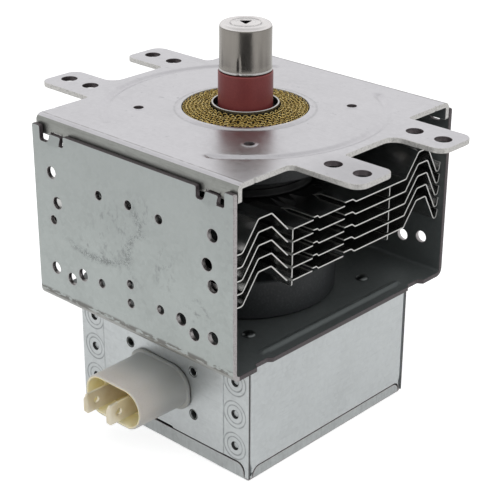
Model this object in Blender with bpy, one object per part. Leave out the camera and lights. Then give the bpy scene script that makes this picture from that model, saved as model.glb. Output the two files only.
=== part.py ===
"""Magnetron of a microwave oven, built as the pieces it comes apart into.

Metres, +Z up. The tube stands on the lid of its filter box: the origin is the middle of that lid's
underside, the antenna points up along +Z, the cooling air passes along X and the supply connector
points along -Y.
"""
import math

import bmesh
import bpy
from mathutils import Matrix, Vector

# Clearance between pieces that meet.
GAP = 0.0003

# Yoke: a U of sheet steel, closed on top by the mounting plate.
YOKE_LENGTH = 0.0798
YOKE_WIDTH = 0.0940
YOKE_SHEET = 0.0014
YOKE_BEND_RADIUS = 0.0024
PLATE_SHEET = 0.0015
PLATE_BEND_RADIUS = 0.0019
FLANGE_DROP = 0.0054
WALL_TOP_DROP = 0.0034
CORNER_POST_DROP = 0.0024
CORNER_POST_LENGTH = 0.0034
CRIMP_LENGTH = 0.0048
CRIMP_SLOT_INNER = 0.0022
CRIMP_SLOT_OUTER = 0.0030
CRIMP_DEPTH = 0.0034
CRIMP_TOP_DROP = 0.0011
CRIMP_PUSH = 0.0010
FLOOR_END_SETBACK = 0.0005
FLOOR_NOTCH_START = 0.0315
FLOOR_NOTCH_END = 0.0368
FLOOR_NOTCH_DEPTH = 0.0016
FLOOR_RIB_INSET = 0.0046
FLOOR_RIB_LENGTH = 0.0630
FLOOR_RIB_WIDTH = 0.0024
FLOOR_RIB_HEIGHT = 0.0008

# Mounting plate: ears, holes, pressed grooves and the raised rim round the gasket.
EAR_REACH = 0.0628
EAR_INNER_EDGE = 0.0104
EAR_OUTER_EDGE = 0.0253
EAR_TIP_RADIUS = 0.0038
EAR_ROOT_RADIUS = 0.0040
EAR_NOTCH_RADIUS = 0.0011
EAR_ROOT_LENGTH = 0.0457
EAR_HOLE_RADIUS = 0.0024
EAR_HOLE_NEAR = 0.0479
EAR_HOLE_FAR = 0.0576
EAR_HOLE_SIDE = 0.0176
PILOT_HOLE_RADIUS = 0.0014
PILOT_HOLE_OFFSET = 0.0219
PLATE_NICK_SIDE = 0.0388
PLATE_NICK_DEPTH = 0.0005
GROOVE_RADIUS = 0.0410
GROOVE_WIDTH = 0.0034
GROOVE_DEPTH = 0.0005
GROOVE_HALF_ANGLE = math.radians(61.0)
RIM_WIDTH = 0.0022
RIM_HEIGHT = 0.0005

# Wall holes: distance from the middle along X, and drop below the plate's top.
LARGE_HOLE_RADIUS = 0.00185
SMALL_HOLE_RADIUS = 0.00135
TOP_ROW_DROP = 0.0172
TOP_ROW_SIDE = 0.0121
TOP_MIDDLE_DROP = 0.0166
EDGE_HOLE_SIDE = 0.0323
EDGE_HOLE_TOP_DROP = 0.0158
EDGE_HOLE_STEP_SIDE = 0.0302
EDGE_HOLE_STEP_DROP = 0.0247
EDGE_HOLE_MID_DROP = 0.0305
BOTTOM_ROW_DROP = 0.0444
BOTTOM_HOLE_SIDE = 0.0202
BOTTOM_LOW_SIDE = 0.0252
BOTTOM_LOW_DROP = 0.0473
BOTTOM_EDGE_DROP = 0.0459
CENTRE_HIGH_DROP = 0.0407
CENTRE_LOW_DROP = 0.0466

# Magnets, anode and the parts stacked between them.
MAGNET_RADIUS = 0.0275
MAGNET_THICKNESS = 0.0120
MAGNET_CHAMFER = 0.0005
ANODE_RADIUS = 0.0195
ANODE_WALL = 0.0030
ANODE_HEIGHT = 0.0243
ANODE_BORE_RADIUS = 0.0046
VANE_COUNT = 10
VANE_THICKNESS = 0.0019
VANE_HEIGHT = 0.0095
STRAP_INNER_RADIUS = 0.0056
STRAP_WIDTH = 0.0006
STRAP_SPACING = 0.0012
STRAP_HEIGHT = 0.0010
POLE_SHEET = 0.0012
POLE_CONE_DEPTH = 0.0052
POLE_LIP_RADIUS = 0.0066
POLE_HOLE_RADIUS = 0.0049
CUP_RADIUS = 0.0099
CUP_SHEET = 0.0005
CUP_RISE = 0.0020
CUP_LEDGE_DEPTH = 0.0026
CUP_LEDGE_RADIUS = 0.0062

# Antenna above the plate.
CERAMIC_RADIUS = 0.0080
CERAMIC_WALL = 0.0023
CERAMIC_TOP_RISE = 0.0114
CAP_RADIUS = 0.0075
CAP_SHEET = 0.0004
CAP_HEIGHT = 0.0137
CAP_LIP = 0.0003
CAP_CROWN_RADIUS = 0.0011
CAP_GROOVE_RADIUS = 0.0045
CAP_HOLE_RADIUS = 0.0019
EXHAUST_RADIUS = 0.0032
EXHAUST_WALL = 0.0008
EXHAUST_HEIGHT = 0.0090
EXHAUST_PINCH = 0.0035
ANTENNA_LEAD_RADIUS = 0.0008
ANTENNA_LEAD_FOOT = 0.0092

# Knitted gasket.
GASKET_RADIUS = 0.0183
GASKET_CROWN = 0.0006
GASKET_RIDGES = 4
GASKET_RIDGE_HEIGHT = 0.0003

# Cooling fins: five folded sheets pressed on the anode.
FIN_COUNT = 5
FIN_SHEET = 0.0005
FIN_PITCH = 0.00385
FIN_LENGTH = 0.0760
FIN_LIFT = 0.0008
FIN_LOUVRE_LENGTH = 0.0090
FIN_COLLAR_HEIGHT = 0.0022
FIN_LUG_LENGTH = 0.0075
FIN_LUG_NEAR = 0.0223
FIN_LUG_FAR = 0.0207
FIN_LAST_LUG = 0.0016
FIN_PEAK = 0.0074
FIN_VALLEY = 0.0010
FIN_HOOK = 0.0006
FIN_FOOT = 0.0035
FRONT_PEAK_FAR = 0.0355
FRONT_PEAK_NEAR = 0.0304
FRONT_WING_ROOT = 0.0240
BACK_WING_ROOT = 0.0286
BACK_PEAK_NEAR = 0.0339
BACK_PEAK_FAR = 0.0387
BACK_PEAK_STEP = 0.0004
BACK_FOOT = 0.0015
BACK_VALLEY = 0.0017
SMALL_LOUVRE_START = -0.0132
SMALL_LOUVRE_END = -0.0107
SMALL_LOUVRE_RISE = 0.0007
LARGE_LOUVRE_START = 0.0003
LARGE_LOUVRE_CREST = 0.0021
LARGE_LOUVRE_END = 0.0054
LARGE_LOUVRE_RISE = 0.0011

# Cathode and its stem.
FILAMENT_RADIUS = 0.0019
FILAMENT_WIRE = 0.0003
FILAMENT_TURNS = 5
FILAMENT_LENGTH = 0.0086
HAT_RADIUS = 0.0036
HAT_THICKNESS = 0.0009
LEAD_RADIUS = 0.0007
SIDE_LEAD_OFFSET = 0.0034
STEM_RADIUS = 0.0080
STEM_DROP = 0.0150
STEM_STRIP_REACH = 0.0095
STEM_STRIP_WIDTH = 0.0030
STEM_STRIP_SHEET = 0.0008

# Filter box under the yoke.
BOX_HEIGHT = 0.0389
BOX_LENGTH = 0.0704
BOX_WIDTH = 0.0718
BOX_SHEET = 0.0006
BOX_CORNER_RADIUS = 0.0008
BOX_FLANGE = 0.0092
SKIRT_FRONT_HEIGHT = 0.0050
SKIRT_SIDE_HEIGHT = 0.0039
SKIRT_CORNER_INSET = 0.0020
SKIRT_CORNER_RADIUS = 0.0026
CLINCH_SIDE = 0.0296
CLINCH_RADIUS = 0.0011
CLINCH_DEPTH = 0.0004
CLINCH_TOP_DROP = 0.0082
CLINCH_PITCH = 0.0104
RIVET_OFFSET = 0.0255
RIVET_RADIUS = 0.0013
RIVET_HEAD_RADIUS = 0.0020
RIVET_HEAD_HEIGHT = 0.0009

# Supply connector and capacitor.
CONNECTOR_DROP = 0.0182
CONNECTOR_HALF_LENGTH = 0.0119
CONNECTOR_HALF_HEIGHT = 0.0066
CONNECTOR_WALL = 0.0011
CONNECTOR_REACH = 0.0194
CONNECTOR_LIP = 0.0008
CONNECTOR_LIP_THICKNESS = 0.0009
CONNECTOR_POCKET_DEPTH = 0.0150
CONNECTOR_TAIL = 0.0040
CAPACITOR_DEPTH = 0.0080
GROUND_PLATE_SHEET = 0.0010
GROUND_PLATE_MARGIN = 0.0055
EYELET_SIDE = 0.0132
EYELET_RISE = 0.0071
EYELET_RADIUS = 0.0018
EYELET_BORE = 0.0011
TAB_WIDTH = 0.0063
TAB_SHEET = 0.0008
TAB_PITCH = 0.0096
TAB_REACH = 0.0066
TAB_HOLE_RADIUS = 0.0009
TAB_TAIL = 0.0030

# Chokes.
CHOKE_SIDE = 0.0160
CHOKE_CORE_RADIUS = 0.0026
CHOKE_CORE_LENGTH = 0.0200
CHOKE_WIRE_RADIUS = 0.0007
CHOKE_TURNS = 5
CHOKE_COIL_LENGTH = 0.0150

# Facets round a full circle.
FINE = 28
ROUND = 20
SMALL = 10
TINY = 8

# Heights worked out from the sizes above.
YOKE_UNDERSIDE = BOX_HEIGHT
YOKE_FLOOR = YOKE_UNDERSIDE + YOKE_SHEET
LOWER_MAGNET_BOTTOM = YOKE_FLOOR + GAP
LOWER_MAGNET_TOP = LOWER_MAGNET_BOTTOM + MAGNET_THICKNESS
LOWER_FLANGE_BOTTOM = LOWER_MAGNET_TOP + GAP
LOWER_POLE_BOTTOM = LOWER_FLANGE_BOTTOM + CUP_SHEET + GAP
ANODE_BOTTOM = LOWER_POLE_BOTTOM + POLE_SHEET + GAP
ANODE_TOP = ANODE_BOTTOM + ANODE_HEIGHT
ANODE_MIDDLE = (ANODE_BOTTOM + ANODE_TOP) / 2
UPPER_POLE_TOP = ANODE_TOP + GAP + POLE_SHEET
UPPER_FLANGE_TOP = UPPER_POLE_TOP + GAP + CUP_SHEET
UPPER_MAGNET_BOTTOM = UPPER_FLANGE_TOP + GAP
UPPER_MAGNET_TOP = UPPER_MAGNET_BOTTOM + MAGNET_THICKNESS
PLATE_UNDERSIDE = UPPER_MAGNET_TOP + GAP
PLATE_TOP = PLATE_UNDERSIDE + PLATE_SHEET
VANE_TOP = ANODE_MIDDLE + VANE_HEIGHT / 2
VANE_BOTTOM = ANODE_MIDDLE - VANE_HEIGHT / 2
BORE_RADIUS = CUP_RADIUS + 2 * GAP
CERAMIC_BOTTOM = PLATE_TOP + CUP_RISE - CUP_LEDGE_DEPTH + GAP
CERAMIC_TOP = PLATE_TOP + CERAMIC_TOP_RISE
CAP_BOTTOM = CERAMIC_TOP + GAP
STEM_BOTTOM = YOKE_UNDERSIDE - STEM_DROP
CONNECTOR_HEIGHT = YOKE_UNDERSIDE - CONNECTOR_DROP
WALL_INNER = YOKE_WIDTH / 2 - YOKE_SHEET
FLANGE_FACE = WALL_INNER - GAP
CEILING_TOP = YOKE_UNDERSIDE - GAP
PANEL_FACE = BOX_WIDTH / 2
BODY_FACE = PANEL_FACE - BOX_SHEET - GAP


def clear_scene():
    for item in list(bpy.data.objects):
        bpy.data.objects.remove(item, do_unlink=True)


def material(name, colour, roughness, metallic):
    made = bpy.data.materials.new(name)
    made.use_nodes = True
    shader = made.node_tree.nodes["Principled BSDF"]
    shader.inputs["Base Color"].default_value = (*colour, 1.0)
    shader.inputs["Roughness"].default_value = roughness
    shader.inputs["Metallic"].default_value = metallic
    return made


def object_from(name, bm, finish, smooth_angle=None):
    """Turns a bmesh into a named object, faces outward, round sides shaded smooth."""
    bmesh.ops.recalc_face_normals(bm, faces=bm.faces)
    mesh = bpy.data.meshes.new(name)
    bm.to_mesh(mesh)
    bm.free()
    if smooth_angle is not None:
        mesh.shade_smooth()
        mesh.set_sharp_from_angle(angle=math.radians(smooth_angle))
    made = bpy.data.objects.new(name, mesh)
    bpy.context.collection.objects.link(made)
    if finish is not None:
        mesh.materials.append(finish)
    return made


def tool_object(name, bm):
    """A cutter or an addition for a Boolean, kept as a wire guide."""
    made = object_from(name, bm, None)
    made.hide_render = True
    made.display_type = "WIRE"
    return made


def combine(target, tool, operation):
    modifier = target.modifiers.new(tool.name, "BOOLEAN")
    modifier.object = tool
    modifier.operation = operation
    modifier.solver = "EXACT"


def cut(target, bm, name):
    combine(target, tool_object(name, bm), "DIFFERENCE")


def add(target, bm, name):
    combine(target, tool_object(name, bm), "UNION")


def arc(centre, radius, start, end, steps):
    """Points on an arc in a plane, both ends included."""
    points = []
    for i in range(steps + 1):
        angle = start + (end - start) * i / steps
        points.append((centre[0] + radius * math.cos(angle), centre[1] + radius * math.sin(angle)))
    return points


def circle(centre, radius, count):
    return arc(centre, radius, 0.0, 2 * math.pi, count)[:-1]


def filleted(corners, step=math.radians(30)):
    """Outline through (x, y, radius) corners, each rounded by its own radius."""
    points = []
    count = len(corners)
    for i, (x, y, radius) in enumerate(corners):
        here = Vector((x, y))
        if radius <= 0:
            points.append((x, y))
            continue
        before = Vector(corners[i - 1][:2]) - here
        after = Vector(corners[(i + 1) % count][:2]) - here
        before.normalize()
        after.normalize()
        half = before.angle(after) / 2
        reach = radius / math.tan(half)
        middle = here + (before + after).normalized() * (radius / math.sin(half))
        first = here + before * reach - middle
        last = here + after * reach - middle
        start = math.atan2(first.y, first.x)
        sweep = (math.atan2(last.y, last.x) - start + math.pi) % (2 * math.pi) - math.pi
        steps = max(2, round(abs(sweep) / step))
        points += arc(middle, radius, start, start + sweep, steps)
    return points


def obround(half_length, half_height, steps=6):
    """A flat-sided round-ended outline, long along the first axis."""
    straight = half_length - half_height
    right = arc((straight, 0), half_height, -math.pi / 2, math.pi / 2, steps)
    left = arc((-straight, 0), half_height, math.pi / 2, 3 * math.pi / 2, steps)
    return right + left


def prism(outline, low, high, holes=(), frame=None, bm=None):
    """A flat outline, with holes, drawn up from low to high; frame turns it from XY."""
    bm = bm or bmesh.new()
    edges = []
    for loop in [outline, *holes]:
        verts = [bm.verts.new((x, y, low)) for x, y in loop]
        edges += [bm.edges.new((verts[i - 1], verts[i])) for i in range(len(verts))]
    if holes:
        made = bmesh.ops.triangle_fill(bm, edges=edges, use_beauty=True)
        faces = [part for part in made["geom"] if isinstance(part, bmesh.types.BMFace)]
    else:
        faces = [bm.faces.new(verts)]
    raised = bmesh.ops.extrude_face_region(bm, geom=faces)["geom"]
    top = [part for part in raised if isinstance(part, bmesh.types.BMVert)]
    bmesh.ops.translate(bm, verts=top, vec=(0, 0, high - low))
    if frame is not None:
        turned = {vert for edge in edges for vert in edge.verts} | set(top)
        bmesh.ops.transform(bm, matrix=frame, verts=list(turned))
    return bm


def box(low, high, bm=None):
    outline = [(low[0], low[1]), (high[0], low[1]), (high[0], high[1]), (low[0], high[1])]
    return prism(outline, low[2], high[2], bm=bm)


# A prism drawn in (x, z) and extruded along Y, and one drawn in (y, z) and extruded along X.
ALONG_Y = Matrix(((1, 0, 0, 0), (0, 0, 1, 0), (0, 1, 0, 0), (0, 0, 0, 1)))
ALONG_X = Matrix(((0, 0, 1, 0), (1, 0, 0, 0), (0, 1, 0, 0), (0, 0, 0, 1)))


def skinned(sections, closed, bm=None):
    """A body through like loops of points; closed joins the last section to the first."""
    bm = bm or bmesh.new()
    rings = [[bm.verts.new(point) for point in section] for section in sections]
    pairs = list(zip(rings, rings[1:]))
    if closed:
        pairs.append((rings[-1], rings[0]))
    for one, two in pairs:
        for i in range(len(one)):
            bm.faces.new((one[i - 1], one[i], two[i], two[i - 1]))
    if not closed:
        bm.faces.new(rings[0])
        bm.faces.new(reversed(rings[-1]))
    return bm


def turned(profile, count, centre=(0, 0)):
    """A closed (r, z) profile turned about a vertical axis; points on the axis become poles."""
    bm = bmesh.new()
    rings = []
    for radius, height in profile:
        if radius == 0:
            rings.append([bm.verts.new((centre[0], centre[1], height))])
            continue
        ring = []
        for x, y in circle(centre, radius, count):
            ring.append(bm.verts.new((x, y, height)))
        rings.append(ring)
    for one, two in zip(rings, rings[1:] + rings[:1]):
        if len(one) == 1 and len(two) == 1:
            continue
        for i in range(count):
            if len(one) == 1:
                corners = [one[0], two[i], two[i - 1]]
            elif len(two) == 1:
                corners = [one[i - 1], one[i], two[0]]
            else:
                corners = [one[i - 1], one[i], two[i], two[i - 1]]
            bm.faces.new(corners)
    return bm


def tube(points, radius, sides):
    """A round bar along a list of points."""
    sections = []
    path = [Vector(point) for point in points]
    across = None
    for i, here in enumerate(path):
        before = path[max(i - 1, 0)]
        after = path[min(i + 1, len(path) - 1)]
        along = (after - before).normalized()
        if across is None:
            across = along.orthogonal().normalized()
        across = (across - along * across.dot(along)).normalized()
        third = along.cross(across)
        ring = []
        for k in range(sides):
            angle = 2 * math.pi * k / sides
            ring.append(here + radius * (math.cos(angle) * across + math.sin(angle) * third))
        sections.append(ring)
    return skinned(sections, closed=False)


def smooth_path(points, steps):
    """A smooth curve through the given points."""
    path = [Vector(point) for point in points]
    padded = [path[0] * 2 - path[1], *path, path[-1] * 2 - path[-2]]
    curve = []
    for i in range(1, len(padded) - 2):
        a, b, c, d = padded[i - 1:i + 3]
        for k in range(steps):
            t = k / steps
            bend = (d - a + 3 * (b - c)) * t ** 3 + (2 * a - 5 * b + 4 * c - d) * t ** 2
            curve.append(b + (bend + (c - a) * t) / 2)
    curve.append(path[-1])
    return curve


def arched(width, depth, base, lid, count=2):
    """Cross-section of a pressed bead: a shallow arch below base, closed along lid."""
    section = []
    for i in range(count + 1):
        t = 2 * i / count - 1
        section.append((width / 2 * t, base - depth * (1 - t * t)))
    return [*section, (width / 2, lid), (-width / 2, lid)]


def bead_stations(width, length, middle):
    """Places from -1 to 1 along a bead, each with its share of the width, rounded at both ends."""
    taper = width / length
    stations = [(-1, 0.2), (-1 + 0.3 * taper, 0.7), (-1 + taper, 1)]
    for i in range(1, middle):
        stations.append(((2 * i / middle - 1) * (1 - taper), 1))
    return stations + [(-place, scale) for place, scale in reversed(stations[:3])]


def curved_bead(width, depth, base, lid, turn, bm=None):
    """A bead round the tube's axis, centred on the direction turn."""
    sections = []
    for place, scale in bead_stations(width, 2 * GROOVE_RADIUS * GROOVE_HALF_ANGLE, 9):
        angle = turn + GROOVE_HALF_ANGLE * place
        ring = []
        for across, height in arched(width * scale, depth * scale, base, lid):
            radius = GROOVE_RADIUS + across
            ring.append((radius * math.cos(angle), radius * math.sin(angle), height))
        sections.append(ring)
    return skinned(sections, closed=False, bm=bm)


def straight_bead(width, depth, base, lid, side, length, bm=None):
    """A bead along Y at x = side."""
    sections = []
    for place, scale in bead_stations(width, length, 1):
        ring = []
        for across, height in arched(width * scale, depth * scale, base, lid):
            ring.append((side + across, length / 2 * place, height))
        sections.append(ring)
    return skinned(sections, closed=False, bm=bm)


def plate_end():
    """Corners of the mounting plate's +X end, front to back."""
    end = YOKE_LENGTH / 2
    front = -YOKE_WIDTH / 2
    nick = PLATE_NICK_DEPTH
    return [
        (end, front, 0),
        (end, -PLATE_NICK_SIDE - nick, 0),
        (end - nick, -PLATE_NICK_SIDE, 0),
        (end, -PLATE_NICK_SIDE + nick, 0),
        (end, -EAR_OUTER_EDGE, EAR_ROOT_RADIUS / 2),
        (EAR_REACH, -EAR_OUTER_EDGE, EAR_TIP_RADIUS),
        (EAR_REACH, -EAR_INNER_EDGE, EAR_TIP_RADIUS * 0.8),
        (EAR_ROOT_LENGTH, -EAR_INNER_EDGE, EAR_NOTCH_RADIUS),
        (EAR_ROOT_LENGTH, EAR_INNER_EDGE, EAR_ROOT_RADIUS),
        (EAR_REACH, EAR_INNER_EDGE, EAR_TIP_RADIUS),
        (EAR_REACH, EAR_OUTER_EDGE, EAR_TIP_RADIUS),
        (end, EAR_OUTER_EDGE, EAR_NOTCH_RADIUS),
        (end, PLATE_NICK_SIDE - nick, 0),
        (end - nick, PLATE_NICK_SIDE, 0),
        (end, PLATE_NICK_SIDE + nick, 0),
        (end, -front, 0),
    ]


def fold_section(half_width, sheet, radius, drop, top):
    """Half-width, sheet and bend give the (y, z) section of a plate with its edges turned down."""
    inner = radius - sheet
    centre = half_width - radius
    outside = arc((centre, top - radius), radius, math.pi / 2, 0, 4)
    inside = arc((centre, top - radius), inner, 0, math.pi / 2, 3)
    right = [*outside, (half_width, top - drop), (half_width - sheet, top - drop), *inside]
    left = [(-y, z) for y, z in reversed(right)]
    return right + left


def crimp_span():
    """Inner and outer ends, along X, of the crimp's slots and of its tongue."""
    post = YOKE_LENGTH / 2 - CORNER_POST_LENGTH
    tongue_outer = post - CRIMP_SLOT_OUTER
    tongue_inner = tongue_outer - CRIMP_LENGTH
    return tongue_inner - CRIMP_SLOT_INNER, tongue_inner, tongue_outer, post


def mounting_plate(finish):
    """Top plate: folded down along both long walls, with four ears."""
    section = fold_section(FLANGE_FACE, PLATE_SHEET, PLATE_BEND_RADIUS, FLANGE_DROP, PLATE_TOP)
    blank = prism(section, -EAR_REACH - GAP, EAR_REACH + GAP, frame=ALONG_X)
    plate = object_from("mounting_plate", blank, finish, 24)

    end = plate_end()
    outline = filleted(end + [(-x, -y, radius) for x, y, radius in end])
    frame = 2 * EAR_REACH
    border = [(-frame, -frame), (frame, -frame), (frame, frame), (-frame, frame)]
    low = PLATE_TOP - 2 * FLANGE_DROP
    high = PLATE_TOP + FLANGE_DROP
    cut(plate, prism(border, low, high, holes=[outline]), "plate_trim")

    hole = GASKET_RADIUS + GAP
    middle = PLATE_UNDERSIDE + PLATE_SHEET / 2
    foot = hole + RIM_WIDTH
    slope = RIM_WIDTH * 0.35
    rim = turned([
        (hole - RIM_WIDTH / 2, middle),
        (foot + slope, middle),
        (foot, PLATE_TOP),
        (foot - slope, PLATE_TOP + RIM_HEIGHT),
        (hole - RIM_WIDTH / 2, PLATE_TOP + RIM_HEIGHT),
    ], FINE)
    add(plate, rim, "plate_rim")

    backs = bmesh.new()
    grooves = bmesh.new()
    for turn in (0.0, math.pi):
        curved_bead(GROOVE_WIDTH + PLATE_SHEET, GROOVE_DEPTH, PLATE_UNDERSIDE, middle, turn, backs)
        curved_bead(GROOVE_WIDTH, GROOVE_DEPTH, PLATE_TOP, PLATE_TOP + GROOVE_DEPTH, turn, grooves)
    add(plate, backs, "plate_groove_backs")
    cut(plate, grooves, "plate_grooves")

    holes = prism(circle((0, 0), hole, FINE), low, high)
    for sign_x in (-1, 1):
        for sign_y in (-1, 1):
            for reach in (EAR_HOLE_NEAR, EAR_HOLE_FAR):
                centre = (sign_x * reach, sign_y * EAR_HOLE_SIDE)
                prism(circle(centre, EAR_HOLE_RADIUS, SMALL + 2), low, high, bm=holes)
            centre = (sign_x * PILOT_HOLE_OFFSET, sign_y * PILOT_HOLE_OFFSET)
            prism(circle(centre, PILOT_HOLE_RADIUS, TINY), low, high, bm=holes)
    cut(plate, holes, "plate_holes")

    _, tongue_inner, tongue_outer, _ = crimp_span()
    arch_top = PLATE_TOP - WALL_TOP_DROP - CRIMP_TOP_DROP + GAP
    notches = bmesh.new()
    for sign in (-1, 1):
        ends = sorted((sign * (tongue_inner - GAP), sign * (tongue_outer + GAP)))
        arch = [(ends[0], low), (ends[1], low), (ends[1], arch_top), (ends[0], arch_top)]
        prism(arch, -YOKE_WIDTH, YOKE_WIDTH, frame=ALONG_Y, bm=notches)
    cut(plate, notches, "plate_notches")
    return plate


def wall_holes():
    """The holes of one yoke wall as (x, drop, radius)."""
    holes = [(0, TOP_MIDDLE_DROP, SMALL_HOLE_RADIUS)]
    holes += [(0, CENTRE_HIGH_DROP, SMALL_HOLE_RADIUS), (0, CENTRE_LOW_DROP, SMALL_HOLE_RADIUS)]
    for sign in (-1, 1):
        holes += [
            (sign * TOP_ROW_SIDE, TOP_ROW_DROP, SMALL_HOLE_RADIUS),
            (sign * TOP_ROW_SIDE, BOTTOM_ROW_DROP, SMALL_HOLE_RADIUS),
            (sign * EDGE_HOLE_SIDE, EDGE_HOLE_TOP_DROP, LARGE_HOLE_RADIUS),
            (sign * EDGE_HOLE_STEP_SIDE, EDGE_HOLE_STEP_DROP, LARGE_HOLE_RADIUS),
            (sign * BOTTOM_HOLE_SIDE, BOTTOM_ROW_DROP, LARGE_HOLE_RADIUS),
            (sign * BOTTOM_LOW_SIDE, BOTTOM_LOW_DROP, LARGE_HOLE_RADIUS),
            (sign * EDGE_HOLE_SIDE, BOTTOM_EDGE_DROP, LARGE_HOLE_RADIUS),
        ]
    holes.append((EDGE_HOLE_SIDE, EDGE_HOLE_MID_DROP, LARGE_HOLE_RADIUS))
    holes.append((-EDGE_HOLE_SIDE, EDGE_HOLE_MID_DROP, SMALL_HOLE_RADIUS))
    return holes


def yoke_frame(finish):
    """The U: two walls with holes and crimped edges, and the floor that carries the filter box."""
    half = YOKE_WIDTH / 2
    floor = YOKE_UNDERSIDE
    wall_top = PLATE_TOP - CORNER_POST_DROP
    drop = wall_top - floor
    section = fold_section(half, YOKE_SHEET, YOKE_BEND_RADIUS, drop, 0)
    section = [(y, floor - z) for y, z in section]
    end = YOKE_LENGTH / 2
    yoke = object_from("yoke_frame", prism(section, -end, end, frame=ALONG_X), finish, 30)

    slot_inner, tongue_inner, tongue_outer, post = crimp_span()
    middle_top = PLATE_TOP - WALL_TOP_DROP
    slot_bottom = middle_top - CRIMP_DEPTH
    above = PLATE_TOP + WALL_TOP_DROP
    corner = CRIMP_SLOT_INNER / 3
    trim = filleted([
        (-post, above, 0), (-post, slot_bottom, corner), (-slot_inner, slot_bottom, corner),
        (-slot_inner, middle_top, corner), (slot_inner, middle_top, corner),
        (slot_inner, slot_bottom, corner), (post, slot_bottom, corner), (post, above, 0),
    ], math.radians(45))
    cut(yoke, prism(trim, -YOKE_WIDTH, YOKE_WIDTH, frame=ALONG_Y), "yoke_wall_trim")

    tongues = bmesh.new()
    tongue_top = middle_top - CRIMP_TOP_DROP
    root = slot_bottom - YOKE_SHEET
    for sign in (-1, 1):
        face = sign * half
        back = sign * (half - YOKE_SHEET)
        push = -sign * CRIMP_PUSH
        inset = sign * GAP / 4
        leaf = [
            (face - inset, root), (face - inset, slot_bottom), (face + push, tongue_top),
            (back + push, tongue_top), (back + inset, slot_bottom), (back + inset, root),
        ]
        for side in (-1, 1):
            ends = sorted((side * tongue_inner, side * tongue_outer))
            prism(leaf, ends[0], ends[1], frame=ALONG_X, bm=tongues)
    add(yoke, tongues, "yoke_tongues")

    ribs = bmesh.new()
    rib_backs = bmesh.new()
    floor_middle = floor + YOKE_SHEET / 2
    for sign in (-1, 1):
        side = sign * (end - FLOOR_RIB_INSET)
        width = FLOOR_RIB_WIDTH
        height = -FLOOR_RIB_HEIGHT
        straight_bead(width, height, YOKE_FLOOR, floor_middle, side, FLOOR_RIB_LENGTH, ribs)
        straight_bead(width / 2, height, floor, floor + height, side, FLOOR_RIB_LENGTH, rib_backs)
    add(yoke, ribs, "yoke_ribs")
    cut(yoke, rib_backs, "yoke_rib_backs")

    for i, (x, below, radius) in enumerate(wall_holes()):
        sides = SMALL if radius > SMALL_HOLE_RADIUS else TINY
        outline = circle((x, PLATE_TOP - below), radius, sides)
        cut(yoke, prism(outline, -YOKE_WIDTH, YOKE_WIDTH, frame=ALONG_Y), f"yoke_wall_hole_{i + 1}")

    low = floor - FLOOR_RIB_HEIGHT * 2
    high = YOKE_FLOOR + FLOOR_RIB_HEIGHT * 2
    openings = prism(circle((0, 0), BORE_RADIUS, ROUND), low, high)
    for x, y in rivet_places():
        prism(circle((x, y), RIVET_RADIUS + GAP, SMALL), low, high, bm=openings)
    for sign in (-1, 1):
        edge = sign * (end - FLOOR_END_SETBACK)
        notch = sign * (end - FLOOR_NOTCH_DEPTH)
        beyond = sign * (end + FLOOR_NOTCH_DEPTH)
        outline = [
            (beyond, -FLOOR_NOTCH_END), (notch, -FLOOR_NOTCH_END), (notch, -FLOOR_NOTCH_START),
            (edge, -FLOOR_NOTCH_START), (edge, FLOOR_NOTCH_START), (notch, FLOOR_NOTCH_START),
            (notch, FLOOR_NOTCH_END), (beyond, FLOOR_NOTCH_END),
        ]
        prism(outline, low, high, bm=openings)
    cut(yoke, openings, "yoke_floor_openings")
    return yoke


def rivet_places():
    places = []
    for sign_x in (-1, 1):
        for sign_y in (-1, 1):
            places.append((sign_x * RIVET_OFFSET, sign_y * RIVET_OFFSET))
    return places


def magnet(name, bottom, finish):
    """A ring magnet with broken edges."""
    top = bottom + MAGNET_THICKNESS
    edge = MAGNET_CHAMFER
    profile = [
        (BORE_RADIUS, bottom), (MAGNET_RADIUS - edge, bottom), (MAGNET_RADIUS, bottom + edge),
        (MAGNET_RADIUS, top - edge), (MAGNET_RADIUS - edge, top), (BORE_RADIUS, top),
    ]
    return object_from(name, turned(profile, FINE), finish, 40)


def anode_block(finish):
    """The anode: a copper cylinder with its vanes brazed in, open from end to end."""
    inner = ANODE_RADIUS - ANODE_WALL
    cylinder = turned([
        (inner, ANODE_BOTTOM), (ANODE_RADIUS, ANODE_BOTTOM), (ANODE_RADIUS, ANODE_TOP), (inner, ANODE_TOP),
    ], FINE)
    block = object_from("anode_block", cylinder, finish, 30)
    half = VANE_THICKNESS / 2
    root_angle = math.asin(half / inner)
    step = 2 * math.pi / VANE_COUNT
    bore = []
    for i in range(VANE_COUNT):
        turn = i * step
        along = Vector((math.cos(turn), math.sin(turn)))
        across = Vector((-math.sin(turn), math.cos(turn)))
        tip = along * math.sqrt(ANODE_BORE_RADIUS ** 2 - half ** 2)
        bore += [tip - across * half, tip + across * half]
        bore += arc((0, 0), inner, turn + root_angle, turn + step - root_angle, 2)
    shell = circle((0, 0), ANODE_RADIUS - ANODE_WALL / 2, ROUND)
    vanes = prism(shell, VANE_BOTTOM, VANE_TOP, holes=[[tuple(point) for point in bore]])
    add(block, vanes, "anode_vanes")
    return block


def strap(name, ring, bottom, finish):
    inner = STRAP_INNER_RADIUS + ring * STRAP_SPACING
    top = bottom + STRAP_HEIGHT
    profile = [(inner, bottom), (inner + STRAP_WIDTH, bottom), (inner + STRAP_WIDTH, top), (inner, top)]
    return object_from(name, turned(profile, 16), finish, 40)


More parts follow.
